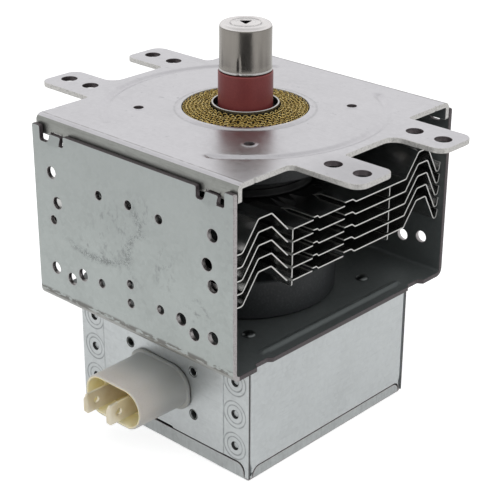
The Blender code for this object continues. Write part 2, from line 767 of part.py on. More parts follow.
def pole_piece(name, direction, finish):
    """A steel funnel that leads the field into the anode; direction is +1 above it, -1 below."""
    seat = ANODE_TOP + GAP if direction > 0 else ANODE_BOTTOM - GAP
    back = direction * POLE_SHEET
    deep = -direction * POLE_CONE_DEPTH
    shoulder = ANODE_RADIUS - ANODE_WALL - 2 * GAP
    profile = [
        (shoulder, seat), (ANODE_RADIUS, seat), (ANODE_RADIUS, seat + back), (shoulder, seat + back),
        (POLE_LIP_RADIUS, seat + deep + back), (POLE_HOLE_RADIUS, seat + deep + back),
        (POLE_HOLE_RADIUS, seat + deep), (POLE_LIP_RADIUS, seat + deep),
    ]
    piece = object_from(name, turned(profile, ROUND), finish, 30)
    if direction > 0:
        radius = ANTENNA_LEAD_RADIUS + 2 * GAP
        opening = circle((ANTENNA_LEAD_FOOT, 0), radius, SMALL)
        cut(piece, prism(opening, VANE_TOP, UPPER_POLE_TOP), "pole_lead_hole")
    return piece


def seal_cup(name, direction, finish):
    """A drawn cup: a flange on the pole piece, a neck through the magnet and a ledge inside it."""
    if direction > 0:
        flange = UPPER_FLANGE_TOP
        rim = PLATE_TOP + CUP_RISE
    else:
        flange = LOWER_FLANGE_BOTTOM
        rim = YOKE_UNDERSIDE - CUP_RISE - CUP_SHEET
    sheet = direction * CUP_SHEET
    ledge = rim - direction * CUP_LEDGE_DEPTH
    bore = CUP_RADIUS - CUP_SHEET
    profile = [
        (bore, flange - sheet), (ANODE_RADIUS, flange - sheet), (ANODE_RADIUS, flange),
        (CUP_RADIUS, flange), (CUP_RADIUS, rim), (bore, rim), (bore, ledge), (CUP_LEDGE_RADIUS, ledge),
        (CUP_LEDGE_RADIUS, ledge - sheet), (bore, ledge - sheet),
    ]
    return object_from(name, turned(profile, ROUND), finish, 30)


def antenna_ceramic(finish):
    inner = CERAMIC_RADIUS - CERAMIC_WALL
    profile = [
        (inner, CERAMIC_BOTTOM), (CERAMIC_RADIUS, CERAMIC_BOTTOM), (CERAMIC_RADIUS, CERAMIC_TOP),
        (inner, CERAMIC_TOP),
    ]
    return object_from("antenna_ceramic", turned(profile, ROUND), finish, 40)


def antenna_cap(finish):
    """Drawn cap with a rolled crown, a pressed ring, a three-cornered hole and a flared lip."""
    bottom = CAP_BOTTOM
    top = bottom + CAP_HEIGHT
    crown = CAP_CROWN_RADIUS
    bore = CAP_RADIUS - CAP_SHEET
    lip = CAP_LIP
    outside = [(CAP_RADIUS + lip, bottom), (CAP_RADIUS + lip, bottom + lip), (CAP_RADIUS, bottom + 3 * lip)]
    outside += arc((CAP_RADIUS - crown, top - crown), crown, 0, math.pi / 2, 3)
    ring = CAP_GROOVE_RADIUS
    press = CAP_SHEET / 2
    face = [(ring + press, top), (ring, top - press), (ring - press, top), (0, top)]
    inside = [(0, top - CAP_SHEET)]
    inside += arc((CAP_RADIUS - crown, top - crown), crown - CAP_SHEET, math.pi / 2, 0, 2)
    inside += [(bore, bottom + 3 * lip), (bore + lip, bottom)]
    cap = object_from("antenna_cap", turned(outside + face + inside, ROUND), finish, 35)
    corners = [(x, y, CAP_HOLE_RADIUS * 0.2) for x, y in circle((0, 0), CAP_HOLE_RADIUS, 3)]
    opening = filleted(corners, math.radians(60))
    cut(cap, prism(opening, top - 2 * CAP_SHEET, top + CAP_SHEET), "cap_hole")
    return cap


def exhaust_tube(finish):
    """Copper pump-out tube on the ceramic, its top pinched shut under the cap."""
    bottom = CAP_BOTTOM
    bore = EXHAUST_RADIUS - EXHAUST_WALL
    flange = CAP_RADIUS - CAP_SHEET - GAP
    top = bottom + EXHAUST_HEIGHT
    shoulder = top - EXHAUST_PINCH
    profile = [
        (bore, bottom), (flange, bottom), (flange, bottom + EXHAUST_WALL),
        (EXHAUST_RADIUS, bottom + 2 * EXHAUST_WALL), (EXHAUST_RADIUS, shoulder),
        (EXHAUST_RADIUS * 1.1, top), (0, top), (0, shoulder), (bore, shoulder - EXHAUST_WALL),
    ]
    bm = turned(profile, 16)
    for vert in bm.verts:
        if vert.co.z > top - GAP:
            vert.co.y *= 0.3
    return object_from("antenna_exhaust_tube", bm, finish, 40)


def antenna_lead(finish):
    """Round lead from the top of one vane, through the pole piece, up to the exhaust tube."""
    foot = VANE_TOP + GAP
    cone = ANODE_TOP + GAP
    tip = CAP_BOTTOM + EXHAUST_HEIGHT - EXHAUST_PINCH - EXHAUST_WALL - 2 * GAP
    route = [
        (ANTENNA_LEAD_FOOT, 0, foot),
        (ANTENNA_LEAD_FOOT, 0, foot + (cone - foot) * 0.5),
        (ANTENNA_LEAD_FOOT * 0.96, 0, cone - POLE_SHEET / 2),
        (ANTENNA_LEAD_FOOT * 0.60, 0, UPPER_POLE_TOP),
        (ANTENNA_LEAD_FOOT * 0.22, 0, UPPER_FLANGE_TOP + CUP_RADIUS * 0.25),
        (0, 0, UPPER_MAGNET_BOTTOM + MAGNET_THICKNESS * 0.6),
        (0, 0, tip),
    ]
    return object_from("antenna_lead", tube(smooth_path(route, 2), ANTENNA_LEAD_RADIUS, TINY), finish, 40)


def rf_gasket(finish):
    """Knitted ring in the plate's hole, its top face drawn as rounds of ridges."""
    inner = CUP_RADIUS + GAP
    bottom = UPPER_MAGNET_TOP + GAP
    edge = PLATE_TOP + GASKET_CROWN / 3
    steps = 2 * GASKET_RIDGES
    top = []
    for i in range(steps + 1):
        t = i / steps
        height = edge + GASKET_CROWN * (1 - t) * 0.7
        height -= GASKET_RIDGE_HEIGHT * (i % 2 == 0)
        top.append((inner + (GASKET_RADIUS - inner) * t, height))
    profile = [(GASKET_RADIUS, bottom), (inner, bottom)] + top
    return object_from("rf_gasket", turned(profile, FINE), finish, 20)


def fin_profile(louvred):
    """Top line of a fin across Y: wings folded in zigzag, a flat middle and two raised louvres."""
    wall = FLANGE_FACE
    peak = FIN_PEAK
    valley = -FIN_VALLEY
    hook = FIN_HOOK
    small = SMALL_LOUVRE_RISE if louvred else 0.0
    large = LARGE_LOUVRE_RISE if louvred else 0.0
    edge = FIN_SHEET / 10
    front = [
        (-wall, hook), (-wall + hook, valley), (-wall + FIN_FOOT, valley),
        (-FRONT_PEAK_FAR, peak), (-FRONT_PEAK_NEAR, peak), (-FRONT_WING_ROOT, FIN_VALLEY),
        (-FIN_LUG_NEAR, 0),
    ]
    middle = [
        (SMALL_LOUVRE_START, 0), (SMALL_LOUVRE_START + edge, small), (SMALL_LOUVRE_END, 0),
        (LARGE_LOUVRE_START, 0), (LARGE_LOUVRE_START + edge, large), (LARGE_LOUVRE_CREST, large * 0.95),
        (LARGE_LOUVRE_END, 0),
    ]
    back_peak = peak - BACK_PEAK_STEP
    back = [
        (BACK_WING_ROOT, 0), (BACK_WING_ROOT + edge, FIN_VALLEY), (BACK_PEAK_NEAR, back_peak),
        (BACK_PEAK_FAR, back_peak), (wall - BACK_FOOT, -BACK_VALLEY), (wall - hook, -BACK_VALLEY),
        (wall, hook / 2),
    ]
    return front + middle + back


def thickened(line, sheet):
    """Closes a line into a strip of even thickness below it."""
    below = []
    for i, (y, z) in enumerate(line):
        before = line[max(i - 1, 0)]
        after = line[min(i + 1, len(line) - 1)]
        first = Vector((y - before[0], z - before[1]))
        second = Vector((after[0] - y, after[1] - z))
        if first.length == 0:
            first = second
        if second.length == 0:
            second = first
        first.normalize()
        second.normalize()
        normal = Vector((-first.y - second.y, first.x + second.x)).normalized()
        stretch = min(1 / max(normal.dot(Vector((-second.y, second.x))), 0.5), 1.5)
        below.append((y - normal.x * sheet * stretch, z - normal.y * sheet * stretch))
    limit = FLANGE_FACE
    below = [(max(-limit, min(limit, y)), z) for y, z in below]
    return line + below[::-1]


def cooling_fin(index, finish):
    """One fin, counted from the top: folded sheet, pierced collar and spacer lugs."""
    level = ANODE_MIDDLE + FIN_LIFT + ((FIN_COUNT - 1) / 2 - index) * FIN_PITCH
    end = FIN_LENGTH / 2
    louvre = end - FIN_LOUVRE_LENGTH
    stations = [(-end, True), (-louvre, False), (louvre, False), (end, True)]
    sections = []
    for x, louvred in stations:
        loop = thickened(fin_profile(louvred), FIN_SHEET)
        sections.append([(x, y, level + z) for y, z in loop])
    name = f"cooling_fin_{index + 1}"
    fin = object_from(name, skinned(sections, closed=False), finish, 25)

    bore = ANODE_RADIUS + GAP
    extras = turned([
        (bore - GAP, level - FIN_SHEET / 2), (bore + FIN_SHEET, level - FIN_SHEET / 2),
        (bore + FIN_SHEET, level + FIN_COLLAR_HEIGHT), (bore - GAP, level + FIN_COLLAR_HEIGHT),
    ], ROUND)
    length = FIN_PITCH - FIN_SHEET - GAP if index < FIN_COUNT - 1 else FIN_LAST_LUG
    inset = GAP / 6
    for sign in (-1, 1):
        ends = sorted((sign * (end - inset), sign * (end - FIN_LUG_LENGTH)))
        for side in (-FIN_LUG_NEAR + 2 * inset, FIN_LUG_FAR):
            low = (ends[0], side, level - FIN_SHEET - length)
            high = (ends[1], side + FIN_SHEET, level - FIN_SHEET / 2)
            box(low, high, bm=extras)
    add(fin, extras, f"fin_extras_{index + 1}")
    opening = prism(circle((0, 0), bore, ROUND), level - FIN_PITCH, level + FIN_PITCH)
    cut(fin, opening, f"fin_bore_{index + 1}")
    return fin


def helix(radius, length, turns, steps, bottom):
    points = []
    count = turns * steps
    for i in range(count + 1):
        angle = 2 * math.pi * i / steps
        points.append((radius * math.cos(angle), radius * math.sin(angle), bottom + length * i / count))
    return points


def cathode_filament(finish):
    bottom = ANODE_MIDDLE - FILAMENT_LENGTH / 2
    points = helix(FILAMENT_RADIUS, FILAMENT_LENGTH, FILAMENT_TURNS, 10, bottom)
    return object_from("cathode_filament", tube(points, FILAMENT_WIRE, 4), finish, 60)


def end_hat(name, direction, finish):
    """Disc at one end of the filament; the lower one is bored for the centre lead."""
    reach = FILAMENT_LENGTH / 2 + FILAMENT_WIRE + GAP
    near = ANODE_MIDDLE + direction * reach
    far = near + direction * HAT_THICKNESS
    if direction > 0:
        profile = [(0, near), (HAT_RADIUS, near), (HAT_RADIUS, far), (0, far)]
    else:
        bore = LEAD_RADIUS + GAP
        profile = [(bore, near), (HAT_RADIUS, near), (HAT_RADIUS, far), (bore, far)]
    return object_from(name, turned(profile, 16), finish, 40)


def cathode_lead(name, x, top, finish):
    bottom = STEM_BOTTOM + GAP / 3
    profile = [(0, bottom), (LEAD_RADIUS, bottom), (LEAD_RADIUS, top), (0, top)]
    return object_from(name, turned(profile, TINY, centre=(x, 0)), finish, 50)


def stem_ceramic(finish):
    """White insulator under the lower cup, with a bore for each cathode lead."""
    rim = YOKE_UNDERSIDE - CUP_RISE - CUP_SHEET
    top = rim + CUP_LEDGE_DEPTH - GAP
    profile = [(0, STEM_BOTTOM), (STEM_RADIUS, STEM_BOTTOM), (STEM_RADIUS, top), (0, top)]
    stem = object_from("stem_ceramic", turned(profile, ROUND), finish, 40)
    bores = bmesh.new()
    for x in (0, -SIDE_LEAD_OFFSET):
        prism(circle((x, 0), LEAD_RADIUS + GAP, TINY), STEM_BOTTOM - GAP, top + GAP, bm=bores)
    cut(stem, bores, "stem_bores")
    return stem


def stem_strip(name, side, finish):
    """Terminal strip under one cathode lead, reaching out to its choke."""
    half = STEM_STRIP_WIDTH / 2
    split = SIDE_LEAD_OFFSET / 2
    inner = -split + 2 * GAP if side > 0 else -split - 2 * GAP
    outer = side * STEM_STRIP_REACH
    top = STEM_BOTTOM - GAP
    ends = sorted((inner, outer))
    return object_from(name, box((ends[0], -half, top - STEM_STRIP_SHEET), (ends[1], half, top)), finish)


def choke_coil(name, side, finish):
    """Air-wound choke from the stem's strip to the capacitor's terminal."""
    radius = CHOKE_CORE_RADIUS + GAP + CHOKE_WIRE_RADIUS
    height = CONNECTOR_HEIGHT
    start = CHOKE_COIL_LENGTH * 0.45
    strip = STEM_BOTTOM - GAP - STEM_STRIP_SHEET - GAP - CHOKE_WIRE_RADIUS
    blade = TAB_PITCH / 2 + TAB_SHEET / 2 + GAP + CHOKE_WIRE_RADIUS
    tail = -tab_inner_end()
    steps = 8
    points = [
        (side * (STEM_STRIP_REACH - CHOKE_WIRE_RADIUS), 0, strip),
        (side * STEM_STRIP_REACH * 1.05, start * 0.6, (strip + height) / 2),
    ]
    count = CHOKE_TURNS * steps
    for i in range(count + 1):
        angle = 2 * math.pi * i / steps
        x = CHOKE_SIDE - radius * math.cos(angle)
        points.append((side * x, start - CHOKE_COIL_LENGTH * i / count, height + radius * math.sin(angle)))
    finish_coil = start - CHOKE_COIL_LENGTH
    points += [
        (side * (blade + (CHOKE_SIDE - radius - blade) * 0.4), (finish_coil + tail) / 2, height),
        (side * blade, tail, height),
        (side * blade, tail - TAB_TAIL * 0.6, height),
    ]
    return object_from(name, tube(points, CHOKE_WIRE_RADIUS, 5), finish, 60)


def choke_core(name, side, finish):
    half = CHOKE_CORE_LENGTH / 2
    middle = -CHOKE_COIL_LENGTH * 0.05
    outline = circle((side * CHOKE_SIDE, CONNECTOR_HEIGHT), CHOKE_CORE_RADIUS, 16)
    return object_from(name, prism(outline, middle - half, middle + half, frame=ALONG_Y), finish, 40)


def skirt_outline(half_length, height, low):
    """Outline of a lid skirt seen square on, its upper corners rounded."""
    inset = half_length - SKIRT_CORNER_INSET
    radius = SKIRT_CORNER_RADIUS
    return filleted([
        (-inset, low, 0), (inset, low, 0), (inset, height, radius), (-inset, height, radius),
    ], math.radians(30))


def grown(half_length, height):
    """The notch in a wall that clears a skirt all round."""
    low = -SKIRT_FRONT_HEIGHT
    return skirt_outline(half_length + GAP, height + GAP, low)


def box_plan(half_x, half_y, radius):
    corners = [(-half_x, -half_y, radius), (half_x, -half_y, radius), (half_x, half_y, radius),
               (-half_x, half_y, radius)]
    return filleted(corners, math.radians(45))


def filter_box_body(finish):
    """Folded body: ceiling, two side walls and the flanges that the panels are clinched to."""
    half_x = BOX_LENGTH / 2
    half_y = BODY_FACE
    sheet = BOX_SHEET
    bottom = sheet + GAP
    blank = prism(box_plan(half_x, half_y, BOX_CORNER_RADIUS), bottom, CEILING_TOP)
    body = object_from("filter_box_body", blank, finish, 30)
    inner_x = half_x - sheet
    inner_y = half_y - sheet
    cut(body, box((-inner_x, -inner_y, -sheet), (inner_x, inner_y, CEILING_TOP - sheet)), "box_cavity")
    open_x = half_x - BOX_FLANGE
    window_top = CEILING_TOP - 4 * sheet
    window = box((-open_x, -BOX_WIDTH, -sheet), (open_x, BOX_WIDTH, window_top))
    cut(body, window, "box_windows")

    low = CEILING_TOP - 3 * sheet
    high = CEILING_TOP + sheet
    holes = prism(circle((0, 0), BORE_RADIUS, ROUND), low, high)
    for x, y in rivet_places():
        prism(circle((x, y), RIVET_RADIUS + GAP, SMALL), low, high, bm=holes)
    cut(body, holes, "box_ceiling_holes")
    sides = prism(grown(PANEL_FACE, SKIRT_SIDE_HEIGHT), -BOX_LENGTH, BOX_LENGTH, frame=ALONG_X)
    cut(body, sides, "box_side_notches")
    return body


def clinch_places():
    places = []
    for row in range(3):
        height = YOKE_UNDERSIDE - CLINCH_TOP_DROP - row * CLINCH_PITCH
        places += [(-CLINCH_SIDE, height), (CLINCH_SIDE, height)]
    return places


def filter_box_panel(name, direction, finish):
    """Front (-1) or back (+1) panel, clinched over the body's flanges."""
    half_x = BOX_LENGTH / 2
    face = direction * PANEL_FACE
    back = direction * (PANEL_FACE - BOX_SHEET)
    bottom = BOX_SHEET + GAP
    outline = [(-half_x, bottom), (half_x, bottom), (half_x, CEILING_TOP), (-half_x, CEILING_TOP)]
    low, high = sorted((face, back))
    panel = object_from(name, prism(outline, low, high, frame=ALONG_Y), finish)
    ends = (face - direction * CLINCH_DEPTH, face + direction * BOX_SHEET)
    low, high = min(ends), max(ends)
    dimples = bmesh.new()
    for x, z in clinch_places():
        prism(circle((x, z), CLINCH_RADIUS, TINY), low, high, frame=ALONG_Y, bm=dimples)
    cut(panel, dimples, f"{name}_clinches")
    low, high = sorted((face + direction * BOX_SHEET, back - direction * BOX_SHEET))
    openings = prism(grown(half_x, SKIRT_FRONT_HEIGHT), low, high, frame=ALONG_Y)
    if direction < 0:
        shape = obround(CONNECTOR_HALF_LENGTH + GAP, CONNECTOR_HALF_HEIGHT + GAP)
        prism([(x, CONNECTOR_HEIGHT + z) for x, z in shape], low, high, frame=ALONG_Y, bm=openings)
        for x, z in eyelet_places():
            prism(circle((x, z), EYELET_RADIUS + GAP, TINY), low, high, frame=ALONG_Y, bm=openings)
    cut(panel, openings, f"{name}_openings")
    return panel


def filter_box_lid(finish):
    """Pressed lid: a floor that the tube stands on and four skirts with rounded corners."""
    half_x = BOX_LENGTH / 2
    half_y = PANEL_FACE
    sheet = BOX_SHEET
    top = SKIRT_FRONT_HEIGHT
    blank = prism(box_plan(half_x, half_y, BOX_CORNER_RADIUS), 0, top)
    lid = object_from("filter_box_lid", blank, finish, 30)
    inner_x = half_x - sheet
    inner_y = half_y - sheet
    cut(lid, box((-inner_x, -inner_y, sheet), (inner_x, inner_y, 2 * top)), "lid_cavity")
    ends = bmesh.new()
    sides = bmesh.new()
    for half, height, face, frame, bm in (
        (half_x, SKIRT_FRONT_HEIGHT, half_y, ALONG_Y, ends),
        (half_y, SKIRT_SIDE_HEIGHT, half_x, ALONG_X, sides),
    ):
        reach = half + 2 * sheet
        inset = half - SKIRT_CORNER_INSET
        radius = SKIRT_CORNER_RADIUS
        high = 2 * top
        above = filleted([
            (-reach, sheet, 0), (-inset, sheet, 0), (-inset, height, radius), (inset, height, radius),
            (inset, sheet, 0), (reach, sheet, 0), (reach, high, 0), (-reach, high, 0),
        ], math.radians(30))
        for sign in (-1, 1):
            low, far = sorted((sign * (face - 1.5 * sheet), sign * (face + sheet)))
            prism(above, low, far, frame=frame, bm=bm)
    cut(lid, ends, "lid_end_trim")
    cut(lid, sides, "lid_side_trim")
    return lid


def box_rivet(index, place, finish):
    """Rivet that holds the filter box under the yoke's floor."""
    low = CEILING_TOP - BOX_SHEET - GAP
    high = YOKE_FLOOR + GAP
    tail = RIVET_RADIUS + 3 * GAP
    profile = [
        (0, low - RIVET_HEAD_HEIGHT / 2), (tail, low - RIVET_HEAD_HEIGHT / 2), (tail, low),
        (RIVET_RADIUS, low), (RIVET_RADIUS, high), (RIVET_HEAD_RADIUS, high),
        (RIVET_HEAD_RADIUS * 0.85, high + RIVET_HEAD_HEIGHT * 0.55),
        (RIVET_HEAD_RADIUS * 0.45, high + RIVET_HEAD_HEIGHT * 0.92), (0, high + RIVET_HEAD_HEIGHT),
    ]
    return object_from(f"box_rivet_{index + 1}", turned(profile, TINY, centre=place), finish, 40)


def eyelet_places():
    places = []
    for sign_x in (-1, 1):
        for sign_z in (-1, 1):
            places.append((sign_x * EYELET_SIDE, CONNECTOR_HEIGHT + sign_z * EYELET_RISE))
    return places


def raised_obround(half_length, half_height, low, high, bm=None):
    outline = [(x, CONNECTOR_HEIGHT + z) for x, z in obround(half_length, half_height)]
    return prism(outline, low, high, frame=ALONG_Y, bm=bm)


def tab_slots(low, high, clearance):
    """Slots that the two blades pass through."""
    bm = bmesh.new()
    half = TAB_SHEET / 2 + clearance
    rise = TAB_WIDTH / 2 + clearance
    for sign in (-1, 1):
        x = sign * TAB_PITCH / 2
        box((x - half, low, CONNECTOR_HEIGHT - rise), (x + half, high, CONNECTOR_HEIGHT + rise), bm=bm)
    return bm


def capacitor_housing(finish):
    """Moulded connector shell: a round-ended socket, a lip on the panel and a tail in the box."""
    mouth = -PANEL_FACE - CONNECTOR_REACH
    tail = -PANEL_FACE + CONNECTOR_TAIL
    blank = raised_obround(CONNECTOR_HALF_LENGTH, CONNECTOR_HALF_HEIGHT, mouth, tail)
    shell = object_from("capacitor_housing", blank, finish, 30)
    lip_length = CONNECTOR_HALF_LENGTH + CONNECTOR_LIP
    lip_height = CONNECTOR_HALF_HEIGHT + CONNECTOR_LIP
    high = -PANEL_FACE - GAP
    low = high - CONNECTOR_LIP_THICKNESS
    add(shell, raised_obround(lip_length, lip_height, low, high), "housing_lip")
    inner_length = CONNECTOR_HALF_LENGTH - CONNECTOR_WALL
    inner_height = CONNECTOR_HALF_HEIGHT - CONNECTOR_WALL
    pocket = mouth + CONNECTOR_POCKET_DEPTH
    cut(shell, raised_obround(inner_length, inner_height, mouth - GAP, pocket), "housing_pocket")
    cut(shell, tab_slots(pocket - 2 * GAP, tail + GAP, GAP), "housing_slots")
    return shell


def capacitor_block(finish):
    """Ceramic capacitor behind the socket, inside the box."""
    low = -PANEL_FACE + CONNECTOR_TAIL + GAP
    high = low + CAPACITOR_DEPTH
    blank = raised_obround(CONNECTOR_HALF_LENGTH, CONNECTOR_HALF_HEIGHT, low, high)
    block = object_from("capacitor_block", blank, finish, 30)
    cut(block, tab_slots(low - GAP, high + GAP, GAP), "capacitor_slots")
    return block


def ground_plate(finish):
    """Steel plate that clamps the capacitor; its eyelets come out through the front panel."""
    low = -PANEL_FACE + BOX_SHEET + GAP
    high = low + GROUND_PLATE_SHEET
    half_x = EYELET_SIDE + GROUND_PLATE_MARGIN
    half_z = EYELET_RISE + GROUND_PLATE_MARGIN
    bottom = CONNECTOR_HEIGHT - half_z
    top = CONNECTOR_HEIGHT + half_z
    outline = filleted([
        (-half_x, bottom, EYELET_RADIUS), (half_x, bottom, EYELET_RADIUS),
        (half_x, top, EYELET_RADIUS), (-half_x, top, EYELET_RADIUS),
    ], math.radians(45))
    plate = object_from("capacitor_ground_plate", prism(outline, low, high, frame=ALONG_Y), finish, 30)
    eyelets = bmesh.new()
    bores = bmesh.new()
    for x, z in eyelet_places():
        middle = low + GROUND_PLATE_SHEET / 2
        prism(circle((x, z), EYELET_RADIUS, TINY), -PANEL_FACE, middle, frame=ALONG_Y, bm=eyelets)
        prism(circle((x, z), EYELET_BORE, TINY), -BOX_WIDTH, BOX_WIDTH, frame=ALONG_Y, bm=bores)
    add(plate, eyelets, "ground_eyelets")
    cut(plate, bores, "ground_bores")
    opening = raised_obround(
        CONNECTOR_HALF_LENGTH + GAP, CONNECTOR_HALF_HEIGHT + GAP, low - GAP, high + GAP)
    cut(plate, opening, "ground_opening")
    return plate


def tab_inner_end():
    """How far inside the front, as a positive distance from the middle, a blade's tail ends."""
    return PANEL_FACE - CONNECTOR_TAIL - GAP - CAPACITOR_DEPTH - TAB_TAIL


def terminal_tab(name, side, finish):
    """Quick-connect blade: chamfered tip, locating hole, tail through the capacitor."""
    x = side * TAB_PITCH / 2
    tip = -PANEL_FACE - CONNECTOR_REACH - TAB_REACH
    tail = -tab_inner_end()
    half = TAB_WIDTH / 2
    chamfer = half * 0.35
    outline = [
        (tip, CONNECTOR_HEIGHT - half + chamfer), (tip + chamfer, CONNECTOR_HEIGHT - half),
        (tail, CONNECTOR_HEIGHT - half), (tail, CONNECTOR_HEIGHT + half),
        (tip + chamfer, CONNECTOR_HEIGHT + half), (tip, CONNECTOR_HEIGHT + half - chamfer),
    ]
    hole = circle((tip + 0.70 * TAB_WIDTH, CONNECTOR_HEIGHT), TAB_HOLE_RADIUS, SMALL)
    low = x - TAB_SHEET / 2
    return object_from(name, prism(outline, low, low + TAB_SHEET, holes=[hole], frame=ALONG_X), finish, 40)


def build():
    clear_scene()
    zinc = material("zinc_plated_steel", (0.60, 0.62, 0.63), 0.42, 0.85)
    plate_zinc = material("bright_zinc_plate", (0.72, 0.72, 0.74), 0.38, 0.85)
    ferrite = material("black_ferrite", (0.03, 0.03, 0.035), 0.55, 0.0)
    copper = material("copper", (0.72, 0.38, 0.25), 0.35, 1.0)
    steel = material("drawn_steel", (0.45, 0.44, 0.43), 0.35, 1.0)
    cap_steel = material("cap_steel", (0.55, 0.52, 0.49), 0.25, 1.0)
    pink_ceramic = material("pink_ceramic", (0.24, 0.07, 0.07), 0.55, 0.0)
    white_ceramic = material("white_ceramic", (0.80, 0.79, 0.76), 0.55, 0.0)
    brass_mesh = material("brass_mesh", (0.50, 0.38, 0.10), 0.45, 1.0)
    aluminium = material("fin_aluminium", (0.80, 0.80, 0.79), 0.25, 1.0)
    tungsten = material("tungsten", (0.30, 0.30, 0.31), 0.45, 1.0)
    ivory = material("ivory_moulding", (0.72, 0.69, 0.60), 0.50, 0.0)
    tin = material("tinned_brass", (0.66, 0.64, 0.58), 0.35, 1.0)

    mounting_plate(plate_zinc)
    yoke_frame(zinc)
    magnet("upper_magnet", UPPER_MAGNET_BOTTOM, ferrite)
    magnet("lower_magnet", LOWER_MAGNET_BOTTOM, ferrite)

    anode_block(copper)
    above = VANE_TOP + GAP
    below = VANE_BOTTOM - GAP - STRAP_HEIGHT
    strap("upper_inner_strap", 0, above, copper)
    strap("upper_outer_strap", 1, above, copper)
    strap("lower_inner_strap", 0, below, copper)
    strap("lower_outer_strap", 1, below, copper)
    pole_piece("upper_pole_piece", 1, steel)
    pole_piece("lower_pole_piece", -1, steel)
    seal_cup("upper_seal_cup", 1, steel)
    seal_cup("lower_seal_cup", -1, steel)

    antenna_ceramic(pink_ceramic)
    exhaust_tube(copper)
    antenna_cap(cap_steel)
    antenna_lead(copper)
    rf_gasket(brass_mesh)
    for index in range(FIN_COUNT):
        cooling_fin(index, aluminium)

    cathode_filament(tungsten)
    end_hat("upper_end_hat", 1, tungsten)
    end_hat("lower_end_hat", -1, tungsten)
    hat_reach = FILAMENT_LENGTH / 2 + FILAMENT_WIRE + GAP
    cathode_lead("cathode_centre_lead", 0, ANODE_MIDDLE + hat_reach - GAP, tungsten)
    side_top = ANODE_MIDDLE - hat_reach - HAT_THICKNESS - GAP
    cathode_lead("cathode_side_lead", -SIDE_LEAD_OFFSET, side_top, tungsten)
    stem_ceramic(white_ceramic)
    stem_strip("stem_strip_left", -1, copper)
    stem_strip("stem_strip_right", 1, copper)
    choke_coil("choke_coil_left", -1, copper)
    choke_coil("choke_coil_right", 1, copper)
    choke_core("choke_core_left", -1, ferrite)
    choke_core("choke_core_right", 1, ferrite)

    filter_box_body(zinc)
    filter_box_panel("filter_box_front_panel", -1, zinc)
    filter_box_panel("filter_box_back_panel", 1, zinc)
    filter_box_lid(zinc)
    for index, place in enumerate(rivet_places()):
        box_rivet(index, place, steel)
    capacitor_housing(ivory)
    capacitor_block(white_ceramic)
    ground_plate(steel)
    terminal_tab("terminal_tab_left", -1, tin)
    terminal_tab("terminal_tab_right", 1, tin)


build()
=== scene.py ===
"""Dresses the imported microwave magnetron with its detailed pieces, materials, light and camera.

Metres, +Z up, in the frame of the CAD model: the tube stands on the origin, its antenna points up
and its supply connector points along -Y.
"""
import math
import random

import bmesh
import bpy
import numpy as np
from mathutils import Matrix, Vector
from mathutils.geometry import delaunay_2d_cdt


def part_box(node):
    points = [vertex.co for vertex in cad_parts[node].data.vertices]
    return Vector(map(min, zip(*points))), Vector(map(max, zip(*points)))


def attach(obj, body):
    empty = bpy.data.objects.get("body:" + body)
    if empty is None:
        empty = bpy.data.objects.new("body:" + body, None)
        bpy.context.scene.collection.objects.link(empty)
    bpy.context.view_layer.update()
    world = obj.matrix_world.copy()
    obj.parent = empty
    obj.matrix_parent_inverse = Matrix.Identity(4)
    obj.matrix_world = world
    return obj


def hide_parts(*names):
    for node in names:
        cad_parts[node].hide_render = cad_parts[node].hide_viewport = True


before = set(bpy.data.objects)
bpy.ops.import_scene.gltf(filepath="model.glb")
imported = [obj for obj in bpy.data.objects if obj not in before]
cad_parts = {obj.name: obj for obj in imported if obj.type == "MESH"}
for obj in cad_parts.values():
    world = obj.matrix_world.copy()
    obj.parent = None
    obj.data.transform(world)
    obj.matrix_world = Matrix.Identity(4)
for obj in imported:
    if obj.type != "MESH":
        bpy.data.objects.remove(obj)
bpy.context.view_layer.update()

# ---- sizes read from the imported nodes


def low(node):
    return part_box(node)[0]


def high(node):
    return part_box(node)[1]


GAP = 0.0003
EDGE = 0.00014
CORNERS = [(x, y) for x in (-1, 1) for y in (-1, 1)]

YOKE_END = high("yoke_frame")[0]
YOKE_FACE = high("yoke_frame")[1]
YOKE_UNDERSIDE = low("yoke_frame")[2]
YOKE_SHEET = 0.0014
YOKE_BEND = 0.0024
YOKE_FLOOR = YOKE_UNDERSIDE + YOKE_SHEET
WALL_TOP = high("yoke_frame")[2]

PLATE_SHEET = 0.0015
PLATE_BEND = 0.0019
PLATE_TOP = WALL_TOP + 0.0024
PLATE_FACE = high("mounting_plate")[1]
FLANGE_DROP = 0.0054
WALL_TOP_DROP = 0.0034
CRIMP_TOP_DROP = 0.0011
EAR_REACH = high("mounting_plate")[0]
EAR_ROOT = 0.0457
EAR_INNER = 0.0104
EAR_OUTER = 0.0253
EAR_HOLE_SIDE = 0.0176
EAR_HOLE_RADIUS = 0.0024
CENTRE_BORE = 0.0105
CAP_RING = 0.0045

PANEL_FACE = high("filter_box_back_panel")[1]
BOX_END = high("filter_box_body")[0]
BOX_SHEET = 0.0006
BOX_TOP = high("filter_box_body")[2]
BODY_FACE = PANEL_FACE - BOX_SHEET - GAP
SKIRT_FRONT = 0.0050
SKIRT_SIDE = 0.0039
SKIRT_INSET = 0.0020
SKIRT_CORNER = 0.0026

CONNECTOR_HEIGHT = (low("capacitor_housing")[2] + high("capacitor_housing")[2]) / 2
CONNECTOR_LENGTH = 0.0119
CONNECTOR_RISE = 0.0066
EYELET_RADIUS = 0.0015
EYELETS = [(x * 0.0132, CONNECTOR_HEIGHT + z * 0.0071) for x, z in CORNERS]
ANODE_MIDDLE = (low("anode_block")[2] + high("anode_block")[2]) / 2
ANODE_RADIUS = high("anode_block")[0]

CLINCH_REACH = 0.0296
CLINCH_TOP = YOKE_UNDERSIDE - 0.0082
CLINCH_PITCH = 0.0104
JOGGLE = 0.0253

CAMERA_YAW = math.radians(42.80)
CAMERA_PITCH = math.radians(24.57)


